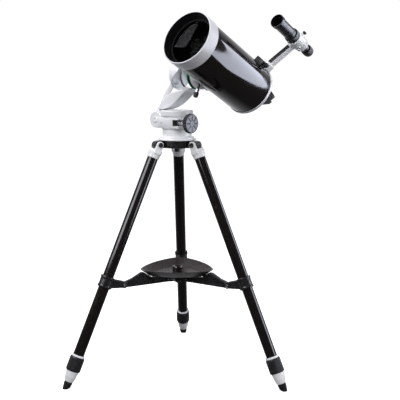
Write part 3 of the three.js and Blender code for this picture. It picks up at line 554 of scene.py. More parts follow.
def star_diagonal():
    """The mirror's housing, with the socket that takes an eyepiece along its own Z."""
    barrel = moved(pipe(15.6, DIAGONAL_BORE, REAR + 9, 141, 0.4), ALONG_Y)
    goes_with("star_diagonal", "diagonal_barrel", DIAGONAL, barrel, CHROME)
    collar = moved(pipe(18.5, DIAGONAL_BORE, HOLDER_END + 0.4, 137, 1.2), ALONG_Y)
    outline = [(133, -16), (141, -18), (172, 9), (172, 19), (133, 19)]
    housing = moved(prism(outline, -17.4, 17.4, 3, 1.6), spin(90, "Z"))
    bored = carved(housing, moved(rod(DIAGONAL_BORE, 120, TURN_AT, 0), ALONG_Y),
        moved(turned([(0, -6), (DIAGONAL_BORE, -6), (DIAGONAL_BORE, 8), (16.2, 8), (16.2, 40),
        (0, 40)], 0, 96), shift(y=TURN_AT)))
    socket = moved(turned([(16.2, 15), (18.5, 15), (18.5, 29), (18, 29.6), (18.5, 30.2), (18.5, 33),
        (17.6, 34), (16.2, 34)], 0.5, 120, closed=True), shift(y=TURN_AT))
    stands_for("star_diagonal", "diagonal_housing", DIAGONAL, merged(bored, collar, socket), GREY)
    back = [(141.6, -18.6), (173, 8.7), (172.2, 9.6), (140.8, -17.7)]
    plate = moved(prism(back, -15, 15, 0.2, 0.2), spin(90, "Z"))
    goes_with("star_diagonal", "mirror_plate", DIAGONAL, plate, METAL_BLACK)
    screw = thumb_screw((1.8, 16.6, 22), [(0, 21), (4, 21), (4.4, 22), (4.4, 28), (3.8, 29),
        (0, 29)], 0.5, 60, (16, 0.35, 3.8))
    place = DIAGONAL @ shift(0, TURN_AT, 25) @ spin(90, "X")
    goes_with("star_diagonal", "socket_screw_knob", place, screw, CHROME)


# ---------- saddle and dovetail ----------
SADDLE_FLOOR = 107
GROOVE_FLOOR = SADDLE_FLOOR - 0.3
SCREW_AT = (112, -14)


def wedge_outline(x0, x1, grow=0.0):
    return [(x0, -22 - grow), (x1, -17 - grow), (x1, 17 + grow), (x0, 22 + grow)]


def saddle():
    screw_place = SCOPE @ shift(*SCREW_AT)
    disc = moved(turned([(0, 50), (10, 50), (10, 82.3), (37.5, 82.3), (40.6, 85), (41, 88),
        (41, 100), (38, 106.6), (0, 106.6)], 1.4, 144), ALONG_X)
    upper = block((100, 118), (-34, 34), (15, 32), 3, 2)
    lower = block((100, 118), (-34, 34), (-33, -29.6), 1, 1)
    groove = prism(wedge_outline(GROOVE_FLOOR, 127, 0.3), -60, 60, 0.1, 0)
    slot = block((GROOVE_FLOOR, 121), (-24, 24), (-29.7, -10), 0.1, 0)
    hole = moved(rod(3.4, -45, -20), shift(*SCREW_AT))
    body = carved(cast(0.9, 4, disc, upper, lower), groove, slot, hole)
    stands_for("saddle", "saddle_casting", SCOPE, body, WHITE, 40)
    jaw = carved(block((107, 118), (-23.4, 23.4), (-26.4, -15), 0.8, 0.8),
        prism(wedge_outline(GROOVE_FLOOR, 127, 0.3), -60, 60, 0.1, 0), moved(rod(3.5, -32, -20),
        shift(*SCREW_AT)))
    stands_for("clamp_jaw", "jaw", SCOPE, jaw, PLASTIC)
    shank = turned([(0, -27), (3.2, -27), (3.2, -62), (0, -62)], 0.4, 64)
    stands_for("saddle_screw", "clamp_screw_shank", screw_place, shank, METAL_BLACK)
    collar = turned([(3.3, -52), (5, -52), (5.4, -53), (5.4, -58), (4.6, -61.7), (3.3, -61.7)], 0.4,
        64, closed=True)
    goes_with("saddle_screw", "clamp_screw_collar", screw_place, collar, CHROME)
    cap = turned([(0, -61.8), (6, -61.8), (7, -63), (7, -72), (6, -75.5), (0, -76)], 0.8, 96,
        shape=ribs(16, 0.6, 6.5))
    goes_with("saddle_screw", "clamp_screw_cap", screw_place, cap, PLASTIC)


def dovetail():
    bar = prism(wedge_outline(SADDLE_FLOOR, 123), -98, 66, 0.8, 0.8)
    tube = moved(rod(TUBE_RADIUS + 0.3, -130, 130, 0, 160), shift(x=TUBE_AT) @ ALONG_Y)
    feet = [block((119, 145), (y, y + 32 if y < 0 else y + 30), (-15, 15), 1.5,
        1.2) for y in (-98, 36)]
    body = carved(merged(bar, *[carved(foot, tube) for foot in feet]))
    stands_for("dovetail_bar", "dovetail", SCOPE, body, METAL_BLACK)


# ---------- altitude drum and arm ----------
ALTITUDE = 888
RING_FRONT = 82
DRUM_RADIUS = 42
COWL_RADIUS = 44.5
WORM_2 = (42, 918)
TILT = (-62, 757)
EAR_GAP = 16.8
EAR_INSIDE = EAR_GAP + 0.5
BOLT_BORE = 5.3
DISC_TOP = 786


def on_altitude_axis(solid):
    return moved(solid, shift(z=ALTITUDE) @ ALONG_X)


def across(radius, low, high, at, fillet=0.6, sides=64):
    """A rod along Y in the head's frame, at that X and Z."""
    return moved(rod(radius, low, high, fillet, sides), shift(at[0], 0, at[1]) @ ALONG_Y)


def altitude_drum():
    drum = on_altitude_axis(turned([(0, 12.2), (DRUM_RADIUS, 12.2), (DRUM_RADIUS, 45), (39.6, 46.4),
        (39.6, 54), (DRUM_RADIUS, 55.4), (DRUM_RADIUS, 65), (43.5, 68.5), (43.5, 74.5),
        (42.5, 75.9), (0, 75.9)], 0.9, 144))
    box = block((28, 56), (2, 45.5), (904.5, 931.5), 3, 2)
    body = carved(merged(drum, box), across(6, -16, 60, WORM_2))
    stands_for("altitude_housing", "altitude_drum", HEAD, body, WHITE)
    # a grey ring in the bottom of the drum's groove: painted shade in the groove
    band = on_altitude_axis(pipe(40.2, 39.3, 46.6, 53.8, 0.3, 128))
    goes_with("altitude_housing", "drum_groove", HEAD, band, GREY)
    ring = on_altitude_axis(turned([(10.4, 76.3), (42.1, 76.3), (42.6, 77), (42.6, 81), (41.8, 82),
        (10.4, 82)], 0.4, 144, closed=True))
    stands_for("altitude_ring", "green_ring", HEAD, ring, GREEN)


def altitude_arm():
    """The wide beam, the thin strut behind it, the knuckle and the cowl, as one casting."""
    lower = [(-36, DISC_TOP + 1.2), (-14, 793.5), (6, 803), (24, 815.5), (40, 829), (54, 840),
        (72, 847.5)]
    upper = [(46, 864), (43, 844), (20, 841.5), (0, 836.5), (-19, 827), (-34, 815),
        (-54, DISC_TOP + 5)]
    beam = prism([(-50, DISC_TOP + 1.2)] + lower + [(72, 864)] + upper, -25.6, 25.6, 5, 3.5)
    strut = prism([(-54, DISC_TOP + 4), (-44, 813), (-29, 833), (9, 883), (12, 864), (-14, 830),
        (-24, 815)], -22, -15.6, 2, 1.5)
    neck = prism([(-82, TILT[1] + 7), (-74, DISC_TOP - 8), (-66, DISC_TOP + 2),
        (-54, DISC_TOP + 12), (-38, DISC_TOP + 12), (-38, DISC_TOP + 1.2), (-49, DISC_TOP + 1.2),
        (-49, TILT[1] + 8)], -EAR_GAP, EAR_GAP, 2, 2)
    knuckle = across(23, -EAR_GAP, EAR_GAP, TILT, 2)
    cover = on_altitude_axis(turned([(0, -4), (10, -3.4), (22, -1), (32, 2.5), (40, 6.5),
        (COWL_RADIUS, 12), (COWL_RADIUS, 46), (DRUM_RADIUS + 0.3, 46), (DRUM_RADIUS + 0.3, 11.7),
        (0, 11.7)], 2.2, 144))
    slope = prism([(11.7, 862), (11.7, 815), (84, 815), (84, 950)], -70, 70, 0, 0)
    worm_room = block((27, 50.5), (-4, 60), (903, 940), 2, 0)
    cowl = carved(cover, slope, worm_room)
    casting = cast(1.0, 5, beam, strut, neck, knuckle, cowl)
    seat = on_altitude_axis(rod(DRUM_RADIUS + 0.3, 11.7, 92, 0, 144))
    flange = on_altitude_axis(rod(DRUM_RADIUS + 1.8, 65, 92, 0, 144))
    body = carved(casting, seat, flange, across(BOLT_BORE, -40, 40, TILT))
    stands_for("altitude_arm", "arm_casting", HEAD, body, WHITE, 45)


# ---------- slow-motion drives ----------


def worm_shaft(start, end):
    return turned([(0, start), (4, start), (5, start + 1), (5, end - 12), (3.5, end - 12),
        (3.5, end), (0, end)], 0.4, 64)


def drive_knob(name, node, place):
    """A round hand knob: a deeply ribbed black rim, and a grey face with eight slots."""
    rim = turned([(3.8, 0), (26.6, 0), (28.3, 1.4), (28.3, 11.2), (27.4, 12.6), (26.2, 13),
        (25.8, 12.1), (3.8, 12.1)], 0.6, 312, closed=True, shape=ribs(26, 1.7, 26.9, 0.6))
    stands_for(node, f"{name}_rim", place, rim, PLASTIC)
    disc = turned([(0, 12.2), (25.5, 12.2), (25.5, 12.8), (24.6, 13.2), (6, 13.5), (5.4, 13.2),
        (0, 13.1)], 0.3, 192)
    slots = [moved(block((8, 23.6), (-1.7, 1.7), (11, 15), 0, 0), spin(45 * i,
        "Z")) for i in range(8)]
    goes_with(node, f"{name}_face", place, carved(disc, *slots), KNOB_GREY, 50)


WORM_1 = (-28, 751)
KNOB_1_BACK = 71
KNOB_2_BACK = 62


def drives():
    shaft_1 = HEAD @ shift(0, *WORM_1) @ ALONG_X
    stands_for("azimuth_worm_shaft", "azimuth_worm", shaft_1, worm_shaft(-16, KNOB_1_BACK + 7.8),
        CHROME)
    drive_knob("azimuth_knob", "azimuth_knob", shaft_1 @ shift(z=KNOB_1_BACK))
    shaft_2 = HEAD @ shift(WORM_2[0], 0, WORM_2[1]) @ ALONG_Y
    stands_for("altitude_worm_shaft", "altitude_worm", shaft_2, worm_shaft(-14, KNOB_2_BACK + 7.8),
        CHROME)
    drive_knob("altitude_knob", "altitude_knob", shaft_2 @ shift(z=KNOB_2_BACK))


# ---------- azimuth head ----------
HUB_TOP = 699
BASE_TOP = 731
HOUSING_TOP = 766


def azimuth_base():
    base = turned([(0, HUB_TOP + 0.4), (56.4, HUB_TOP + 0.4), (57, HUB_TOP + 1), (57, 702.2),
        (55, 703.4), (50.8, 703.8), (50.4, 708.6), (49.4, 709.4), (44.6, 710.4), (43.2, 712),
        (43, 715), (43, BASE_TOP - 0.4), (0, BASE_TOP - 0.4)], 0.7, 144)
    stands_for("azimuth_base", "pedestal", STAND, base, WHITE)


def azimuth_housing():
    drum = turned([(0, BASE_TOP + 0.4), (43.4, BASE_TOP + 0.4), (46, BASE_TOP + 3),
        (46, HOUSING_TOP), (0, HOUSING_TOP)], 0.8, 144)
    box = block((-38, 46), (-46, -12), (BASE_TOP + 4, HOUSING_TOP - 1), 2.5, 2)
    ears = []
    for low, high in ((-26, -EAR_INSIDE), (EAR_INSIDE, 26)):
        ears.append(across(24, low, high, TILT, 1.6, 96))
        ears.append(block((TILT[0], -30), (low, high), (TILT[1] - 20, TILT[1] + 8), 1, 1.4))
    recess = across(25, -EAR_INSIDE, EAR_INSIDE, TILT, 0.2, 96)
    shaft = moved(rod(6, -20, 60), shift(0, *WORM_1) @ ALONG_X)
    pocket = block((24, 60), (-60, WORM_1[0] + 10), (WORM_1[1] - 9, WORM_1[1] + 9), 1, 0)
    bore = across(BOLT_BORE, -40, 40, TILT)
    body = carved(cast(0.9, 3, drum, box, *ears), recess, shaft, pocket, bore)
    stands_for("azimuth_housing", "turntable_casting", HEAD, body, WHITE, 40)
    plate = block((-33, 21), (-46.9, -45.6), (BASE_TOP + 8, HOUSING_TOP - 5), 2, 0.4)
    goes_with("azimuth_housing", "worm_cover_plate", HEAD, plate, WHITE)
    # a thin dark plate on the inner wall of the worm's pocket: painted shade for the shadowed
    # pocket
    pocket_shade_plate = carved(block((24.1, 26), (-45.4, WORM_1[0] + 9.7), (WORM_1[1] - 8.7, WORM_1[1] + 8.7),
        0.6, 0.3), moved(rod(5.3, 10, 40), shift(0, *WORM_1) @ ALONG_X))
    goes_with("azimuth_housing", "worm_bush", HEAD, pocket_shade_plate, PLASTIC)
    screw = socket_screw(1.8, 0.9)
    place = HEAD @ shift(-18, -46.9, 750) @ spin(90, "X")
    goes_with("azimuth_housing", "cover_screw", place, screw, CHROME)
    disc = turned([(0, HOUSING_TOP + 0.4), (44.6, HOUSING_TOP + 0.4), (45, 769), (47.6, 769.8),
        (48, 771), (48, DISC_TOP - 3), (46.4, DISC_TOP), (0, DISC_TOP)], 0.6, 144)
    top = carved(disc, across(25.2, -27, 27, TILT, 0, 96))
    stands_for("azimuth_disc", "turntable_disc", HEAD, top, WHITE)
    bolt = across(5, -25.4, 25.4, TILT)
    stands_for("tilt_bolt", "arm_bolt", HEAD, bolt, CHROME)
    for side in (-1, 1):
        head = moved(socket_screw(8, 3), spin(90 * side, "X"))
        place = HEAD @ shift(TILT[0], -side * 25.8, TILT[1])
        goes_with("tilt_bolt", f"arm_bolt_head_{1 if side < 0 else 2}", place, head, WHITE)


# ---------- tripod ----------
HUB_BOTTOM = 677
PIVOT = (63, 687)
LEG_RADIUS = 16
LEG_BORE = LEG_RADIUS + 0.3  # of the pieces that go round a leg
PIVOT_BORE = 3.8


def tripod_hub():
    """The head plate with a hinge tongue towards each leg."""
    plate = turned([(4.4, HUB_BOTTOM), (46, HUB_BOTTOM), (50, HUB_BOTTOM + 3), (50, HUB_TOP - 0.2),
        (4.4, HUB_TOP - 0.2)], 1.0, 144, closed=True)
    tongues, cutters = [], []
    for k in LEGS:
        turn = STAND.inverted() @ radial_frame(k)
        outline = [(20, HUB_BOTTOM), (73, HUB_BOTTOM), (78, HUB_BOTTOM + 5), (78, HUB_TOP - 9),
            (74, HUB_TOP - 2.5), (66, HUB_TOP - 0.2), (20, HUB_TOP - 0.2)]
        tongues.append(moved(prism(outline, -11.4, 11.4, 3, 1.5), turn))
        for side in (-1, 1):
            flank = sorted((side * 11.5, side * 21.5))
            recess = block((44, 84), flank, (HUB_BOTTOM - 2, HUB_TOP + 2), 0.5, 0)
            cutters.append(moved(recess, turn))
        cutters.append(moved(across(PIVOT_BORE, -40, 40, PIVOT), turn))
    body = carved(cast(0.9, 3, carved(plate, *cutters), *tongues), cutters[2], cutters[5],
        cutters[8])
    stands_for("tripod_hub", "head_plate", STAND, body, SATIN_PLASTIC, 45)
    grip = turned([(0, 664), (6.2, 664), (7.5, 665.4), (7.5, 673.6), (6.4, 675), (4, 675), (4, 708),
        (0, 708)], 0.5, 120, shape=ribs(14, 0.8, 6.8))
    stands_for("centre_lock_knob", "centre_lock", STAND, grip, PLASTIC)


def leg_parts():
    """The solids that every leg repeats, by name."""
    prongs = []
    for low, high in ((-20, -12.1), (12.1, 20)):
        prongs.append(moved(rod(10, low, high, 1.2, 96), ALONG_Y))
        prongs.append(block((-10, 10), (low, high), (-28, 0), 0.5, 1.2))
    socket = turned([(0, -41.6), (17.2, -41.6), (17.6, -38), (18.6, -31), (20.2, -22), (20, -18),
        (18, -15.5), (0, -15.5)], 1.2, 128)
    bracket = carved(cast(0.7, 4, socket, *prongs), moved(rod(PIVOT_BORE, -40, 40), ALONG_Y))
    head = [(0, 19), (7, 20.2), (7, 22.6), (6.2, 24.2), (3.2, 24.2), (2.8, 22.4), (0, 22.4)]
    heads = [moved(turned(head, 0.4, 64), spin(90 * side, "X")) for side in (-1, 1)]
    bolt = merged(*heads, moved(rod(3.5, -20, 20), ALONG_Y))
    tube = pipe(LEG_RADIUS, LEG_RADIUS - 1.4, -663, -42, 0.4, 96)
    ring = turned([(LEG_BORE, -652), (19.2, -652), (19.8, -651), (19.4, -647.6), (17.6, -646.4),
        (LEG_BORE, -646.4)], 0.6, 96, closed=True)
    grip = [(13.9, -694), (20.4, -694), (21.4, -692), (21.4, -656), (20, -652.6),
        (LEG_BORE, -652.6), (LEG_BORE, -664), (13.9, -664)]
    grip = turned(grip, 0.7, 240, closed=True, shape=ribs(30, 0.8, 20.2, 0.6))
    inner = pipe(13.6, 12, -690, -240, 0.4, 96)
    cap = turned([(0, -694.4), (18.5, -694.4), (18.5, -699.4), (17.3, -700.4), (17.6, -701.6),
        (17.6, -704.6), (16.8, -705.6), (16.8, -711), (13.4, -724), (12.6, -726.8), (0, -727)], 0.6,
        96)
    return {"bracket": bracket, "bolt": bolt, "tube": tube, "ring": ring, "grip": grip,
        "inner": inner, "cap": cap}


COLLAR_AT = 424
ARM_PIVOT = (177, 283.5)
HUB_PIVOT = (35, ARM_PIVOT[1])


def collar(k):
    """The clip round the leg, and the two cheeks that hold the spreader arm."""
    pivot = Vector((ARM_PIVOT[0], 0, ARM_PIVOT[1]))
    pivot = (leg_frame(k).inverted() @ radial_frame(k) @ pivot).xz
    cheek = [(-12, -COLLAR_AT + 13), (pivot.x + 2, pivot.y + 9.4), (pivot.x - 6, pivot.y + 8.4),
        (pivot.x - 9.6, pivot.y), (pivot.x - 6, pivot.y - 8), (pivot.x + 3, pivot.y - 9.6),
        (-12, -COLLAR_AT - 15)]
    clip = turned([(LEG_BORE, -441), (20.4, -441), (20.8, -439), (20.8, -435.4), (19.4, -434),
        (19.4, -414), (20.8, -412.6), (20.8, -409), (20.4, -407), (LEG_BORE, -407)], 0.8, 128,
        closed=True)
    cheeks = [prism(cheek, low, high, 4, 1) for low, high in ((-10.5, -6.7), (6.7, 10.5))]
    bore = rod(LEG_BORE, -445, -403, 0, 128)
    body = carved(cast(0.8, 3, clip, *cheeks), bore)
    pin = across(2.2, -12, 12, pivot)
    middle = shift(pivot.x, 0, pivot.y)
    heads = [moved(socket_screw(4.4, 2.4), middle @ spin(90 * side,
        "X") @ shift(z=10.4)) for side in (-1, 1)]
    return body, merged(pin, *heads)


def spreader_arm():
    """A deep gusset with a raised edge, from the leg's hinge to the hub under the tray."""
    outer, inner = ARM_PIVOT, HUB_PIVOT
    outline = [(inner[0] - 6, inner[1] - 3), (inner[0], inner[1] - 7.5),
        (outer[0] - 3, outer[1] - 8.5), (outer[0] + 5, outer[1] - 6), (outer[0] + 8.3, outer[1]),
        (outer[0] + 5, outer[1] + 6.5), (outer[0] - 6, outer[1] + 9), (150, 299), (122, 313.4),
        (113, 313.4), (86, 296), (43, 291), (inner[0], inner[1] + 7.5),
        (inner[0] - 6, inner[1] + 4)]
    web = [(50, 280), (outer[0] - 12, 281), (outer[0] - 12, 287), (146, 293.5), (120, 307.5),
        (114, 307.5), (88, 291), (50, 286)]
    arm = prism(outline, -6, 6, 3, 1.2)
    sides = [prism(web, low, high, 2, 0) for low, high in ((-9, -3), (3, 9))]
    return carved(arm, across(2.5, -12, 12, outer), across(2.5, -12, 12, inner), *sides)


def foot_tip(k):
    """The rubber tip, cut flat by the floor that it stands on."""
    tip = turned([(0, -727.4), (11.5, -727.4), (12.2, -729.4), (12, -733), (10.6, -742),
        (9.2, -752), (0, -752.4)], 0.8, 96)
    place = leg_frame(k)
    floor_level = place.inverted()
    for vert in tip.verts:
        point = place @ vert.co
        if point.z < 0:
            point.z = 0
            vert.co = floor_level @ point
    return tip


def legs():
    shared = leg_parts()
    clip, clip_pin = collar(1)
    arm = spreader_arm()
    for k in LEGS:
        place = leg_frame(k)
        stands_for(f"leg_bracket_{k}", f"bracket_{k}", place, shared["bracket"], WHITE, 45)
        stands_for(f"leg_pivot_bolt_{k}", f"hinge_bolt_{k}", place, shared["bolt"], PLASTIC)
        stands_for(f"leg_tube_{k}", f"upper_leg_{k}", place, shared["tube"], LEG_BLACK)
        goes_with(f"leg_tube_{k}", f"grip_ring_{k}", place, shared["ring"], WHITE)
        stands_for(f"leg_collar_{k}", f"collar_{k}", place, clip, SATIN_PLASTIC, 45)
        goes_with(f"leg_collar_{k}", f"collar_pin_{k}", place, clip_pin, CHROME)
        stands_for(f"twist_grip_{k}", f"grip_{k}", place, shared["grip"], PLASTIC)
        stands_for(f"leg_inner_{k}", f"lower_leg_{k}", place, shared["inner"], ALUMINIUM)
        goes_with(f"leg_inner_{k}", f"leg_cap_{k}", place, shared["cap"], WHITE)
        stands_for(f"foot_tip_{k}", f"tip_{k}", place, foot_tip(k), RUBBER)
        stands_for(f"spreader_arm_{k}", f"gusset_{k}", radial_frame(k), arm, SATIN_PLASTIC)


TRAY_CORNER = 118
TRAY_SIDE = 90
TRAY_ROUND = 40


def tray_outline(shrink):
    """A triangle with rounded corners towards the legs and bowed sides, moved in by shrink."""
    to_corner = TRAY_CORNER - TRAY_ROUND
    to_side = TRAY_SIDE - TRAY_ROUND
    bow = (to_corner ** 2 - to_side ** 2) / (2 * to_side - to_corner)
    half = math.atan2(to_corner * math.sin(math.pi / 3), bow + to_corner * math.cos(math.pi / 3))
    points = []
    for i in range(3):
        turn = 2 * math.pi * i / 3
        corner = (turn, to_corner, TRAY_ROUND - shrink, math.pi / 3 - half, 16)
        side = (turn + math.pi / 3, -bow, bow + TRAY_SIDE - shrink, half, 28)
        for heading, centre, radius, reach, steps in (corner, side):
            for step in range(steps):
                angle = heading + reach * (2 * step / steps - 1)
                points.append((centre * math.cos(heading) + radius * math.cos(angle),
                    centre * math.sin(heading) + radius * math.sin(angle)))
    return points


def tray():
    """A thin dished moulding with a rolled rim."""
    levels = [(36, 298), (31, 298.2), (27, 299.6), (22, 303), (8, 313), (1.6, 317.6), (0, 318.8),
        (0, 319.6), (0.9, 320.2), (2.2, 320), (4, 318.6), (10, 314.4), (24, 304.8), (28.6, 301.8),
        (33, 300.5), (38, 300.3)]
    bm = bmesh.new()
    rings = []
    for shrink, height in levels:
        rings.append([bm.verts.new((x, y, height)) for x, y in tray_outline(shrink)])
    hubs = [bm.verts.new((0, 0, 298)), bm.verts.new((0, 0, 300.3))]
    for low, high in zip(rings, rings[1:]):
        skin(bm, low, high)
    skin(bm, [hubs[0]], rings[0])
    skin(bm, rings[-1], [hubs[1]])
    stands_for("accessory_tray", "tray_moulding", radial_frame(1), bm, LIT_TRAY_PLASTIC)
    hub = turned([(4.4, 272), (10, 272), (10.6, 273), (10.6, 290), (12, 293.4), (15.4, 293.8),
        (16, 294.4), (16, 297.4), (4.4, 297.4)], 0.7, 96, closed=True)
    stands_for("spreader_hub", "spreader_boss", STAND, hub, SATIN_PLASTIC)
    neck = [(9.4, 275), (24, 277), (24, 290), (9.4, 292)]
    ear = [(10, 275.6), (36, 277), (41, 280), (41.6, 284), (40, 288.4), (36, 290), (10, 291.6)]
    fork = merged(prism(neck, -9, 9, 0.5, 0.8), *[prism(ear, low, high, 2, 0.6) for low,
        high in ((-9.2, -6.6), (6.6, 9.2))])
    pin = across(2.1, -9.6, 9.6, HUB_PIVOT)
    for k in LEGS:
        goes_with("spreader_hub", f"hub_fork_{k}", radial_frame(k), fork, SATIN_PLASTIC)
        goes_with("spreader_hub", f"hub_fork_pin_{k}", radial_frame(k), pin, CHROME)
    raised = pipe(15.4, 4.6, 300.1, 302.2, 0.5)
    goes_with("accessory_tray", "tray_boss", STAND, raised, SATIN_PLASTIC)
    knob = turned([(0, 302.6), (14, 302.6), (15, 303.8), (15, 317), (13.6, 319.4), (9, 320.2),
        (8, 319.4), (0, 319.4)], 0.8, 96)
    stands_for("tray_knob", "tray_lock", STAND, merged(knob, rod(4, 268, 302)), GLOSS_BLACK)


# ---------- finder ----------
FINDER_AT = 189
RING_AT = 101
RING_PLACE = shift(0, RING_AT, FINDER_AT)
SHOE_TOP = TUBE_RADIUS + 14


def finder_mount():
    base = block((-16, 16), (38, 60.5), (TUBE_RADIUS - 5, SHOE_TOP), 3, 1.6)
    tube = moved(rod(TUBE_RADIUS + 0.3, 0, 110, 0, 160), ALONG_Y)
    rim = moved(rod(TUBE_RADIUS + 1.8, REAR_CELL - 0.3, 110, 0, 160), ALONG_Y)
    channel = prism([(-12.3, 77.2), (12.3, 77.2), (9.3, 90), (-9.3, 90)], 41, 100, 0, 0)
    screw_at = shift(0, 49.25, 81.5)
    shoe = carved(base, tube, channel, moved(rod(2.6, 8, 30), screw_at @ ALONG_X))
    stands_for("finder_shoe", "shoe", FINDER, shoe, PLASTIC)
    tongue = prism([(-12, 77.6), (12, 77.6), (9, 87.4), (-9, 87.4)], 42, 66, 0.6, 0.8)
    foot = block((-13, 13), (61, 92), (68, 92), 4, 3)
    stalk = moved(prism([(74, 86), (92, 86), (RING_AT + 7, 173), (RING_AT - 11, 173)], -8, 8, 2, 5),
        spin(90, "Z"))
    around_ring = shift(0, 0, FINDER_AT) @ ALONG_Y
    ring = moved(turned([(0, 80), (22.2, 80), (23, 81.4), (23, 100), (22.4, 108), (20.5, 120),
        (18.6, 129), (17.8, 130), (0, 130)], 1.2, 128), around_ring)
    bosses = [moved(rod(4.6, 17, 24.6, 0.8), RING_PLACE @ spin(turn,
        "Y")) for turn in (0, 120, -120)]
    bore = moved(turned([(0, 70), (19.5, 70), (19.5, 118), (16.2, 120), (16.2, 140), (0, 140)], 0,
        128), around_ring)
    holes = [moved(rod(2.6, 12, 40), RING_PLACE @ spin(turn, "Y")) for turn in (0, -120)]
    bracket = carved(cast(0.7, 4, tongue, foot, stalk, ring, *bosses), tube, rim, bore, *holes)
    stands_for("finder_bracket", "finder_ring_and_stalk", FINDER, bracket, WHITE, 45)
    # a black strip along the stalk's front edge: painted shade for the shadowed hollow of the
    # stalk's open channel
    strip = prism([(73.8, 94), (77, 94), (RING_AT - 8.6, 168), (RING_AT - 11.8, 168)], -6.5, 6.5,
        0.4, 0.4)
    goes_with("finder_bracket", "stalk_strip", FINDER, moved(strip, spin(90, "Z")), PLASTIC)
    thumb = thumb_screw((2.2, 15.6, 27), [(0, 26), (4.4, 26), (5.2, 26.8), (5.5, 28), (5.5, 31.6),
        (4.8, 32.8), (0, 33)], 0.5, 120, (18, 0.5, 4.9))
    for number, turn in ((1, 0), (2, -120)):
        place = FINDER @ RING_PLACE @ spin(turn, "Y")
        stands_for(f"finder_screw_{number}", f"aiming_screw_{number}", place, thumb, PLASTIC)
    plunger = turned([(0, 22), (3.6, 22), (3.9, 24.6), (3.9, 33), (3, 34.6), (0, 34.6)], 0.5, 64)
    goes_with("finder_bracket", "spring_plunger", FINDER @ RING_PLACE @ spin(120, "Y"), plunger,
        CHROME)
    shoe_knob = thumb_screw((2.2, 12.8, 20), [(0, 19), (5.6, 19), (6.5, 20), (6.5, 27.6), (5.4, 29),
        (0, 29)], 0.6, 120, (16, 0.6, 5.8))
    stands_for("shoe_screw", "shoe_lock", FINDER @ screw_at @ ALONG_X, shoe_knob, PLASTIC)


def finder_tube():
    """A small refractor: dew shield and objective, barrel with a lock ring, and eyepiece."""
    place = FINDER @ shift(0, 0, FINDER_AT) @ ALONG_Y
    body = turned([(0, 45), (13.1, 45), (13.1, 51.4), (17, 51.4), (17.5, 52.2), (17.5, 62.6),
        (18.6, 64), (20.5, 65), (20.5, 76), (19.4, 77.4), (14.8, 78), (14.8, 127), (14.4, 128.6),
        (12.5, 130), (12.5, 145.6), (0, 145.6)], 0.5, 144, shape=ribs(44, 0.5, 20.2))
    stands_for("finder_tube", "finder_barrel", place, body, METAL_BLACK)
    shield = turned([(17.9, -11), (19.4, -11), (19.8, -10.2), (19.8, 0.4), (19.2, 1.6), (17.5, 3),
        (17.5, 50.9), (13.5, 50.9), (13.5, 44), (0, 44), (0, 25), (15.6, 23.4), (16.4, -1)], 0.4,
        144)
    stands_for("finder_objective", "dew_shield", place, shield, METAL_BLACK)
    liner = pipe(16.2, 15.7, -0.5, 22.8, 0.1, 96)
    goes_with("finder_objective", "dew_shield_lining", place, liner, FLAT_BLACK)
    glass = turned([(0, 21.4), (8, 21.8), (15.4, 23.2), (15.4, 25), (0, 25)], 0.2, 96)
    goes_with("finder_objective", "finder_lens", place, glass, GLASS)
    eyepiece = turned([(0, 146), (13.6, 146), (15.5, 148.6), (15.5, 163), (14.8, 165), (14.4, 168),
        (13.4, 170), (9, 170), (7.6, 166), (0, 165.6)], 0.5, 120, shape=ribs(30, 0.5, 15.0))
    stands_for("finder_eyepiece", "finder_ocular", place, eyepiece, PLASTIC)


front_cell()
corrector_lens()
tube_and_rear()
rear_fittings()
saddle()
dovetail()
altitude_drum()
altitude_arm()
drives()
azimuth_base()
azimuth_housing()
tripod_hub()
legs()
tray()
finder_mount()
finder_tube()
star_diagonal()

# ---------- camera ----------
CAMERA_BACK = 2.52
CAMERA_HEIGHT = 0.9053
CAMERA_DOWN = 8.699
CAMERA_YAW = 1.536
CAMERA_LENS = 77.19
SENSOR_WIDTH = 36
camera = bpy.data.objects.new("camera", bpy.data.cameras.new("camera"))
bpy.context.scene.collection.objects.link(camera)
camera.data.sensor_width = SENSOR_WIDTH
camera.data.lens = CAMERA_LENS
camera.location = AXIS_FOOT + Vector((0, -CAMERA_BACK, CAMERA_HEIGHT))
camera.rotation_euler = (math.radians(90 - CAMERA_DOWN), 0, math.radians(-CAMERA_YAW))
bpy.context.scene.camera = camera

# ---------- floor and light ----------
FLOOR_GLOW = 0.6
FLOOR_REACH = 30
LIT_HEIGHT = 0.75
LIGHT_DISTANCE = 3
SOFTBOXES = (  # name, bearing, height, size, radiance
    ("key", -15, 42, 1.4, 9),
    ("rear_fill", -120, 35, 1.6, 5),
    ("right_fill", 75, 8, 1.6, 3),
)
AMBIENT = ("Z", 0.16, 0.62, -0.6, 0.8)
REFLECTED = ("Y", 0.08, 0.9, 0.3, 1.0)
bpy.context.scene.view_settings.view_transform = "Standard"


def flat_panel(x, y):
    """The vertices, edges and faces of a flat rectangle that reaches x and y from its middle."""
    return [(-x, -y, 0), (x, -y, 0), (x, y, 0), (-x, y, 0)], [], [(0, 1, 2, 3)]


def pale_floor():
    finish = Finish("pale_floor", 0.9, specular=0.0)
    finish.colour(finish.noise(3, 3), (0.90, 0.90, 0.90), (0.915, 0.915, 0.915))
    finish.shader.inputs["Emission Color"].default_value = (1, 1, 1, 1)
    finish.shader.inputs["Emission Strength"].default_value = FLOOR_GLOW
    floor = bpy.data.objects.new("floor", bpy.data.meshes.new("floor"))
    floor.data.from_pydata(*flat_panel(FLOOR_REACH, FLOOR_REACH))
    floor.data.materials.append(finish.material)
    floor.visible_diffuse = False
    floor.visible_glossy = False
    bpy.context.scene.collection.objects.link(floor)


def facing(place, target, roll=0):
    """A place and turn whose -Z looks from the place to the target."""
    look = (Vector(target) - Vector(place)).to_track_quat("-Z", "Y").to_matrix()
    return Matrix.Translation(place) @ (look @ Matrix.Rotation(math.radians(roll), 3, "Z")).to_4x4()


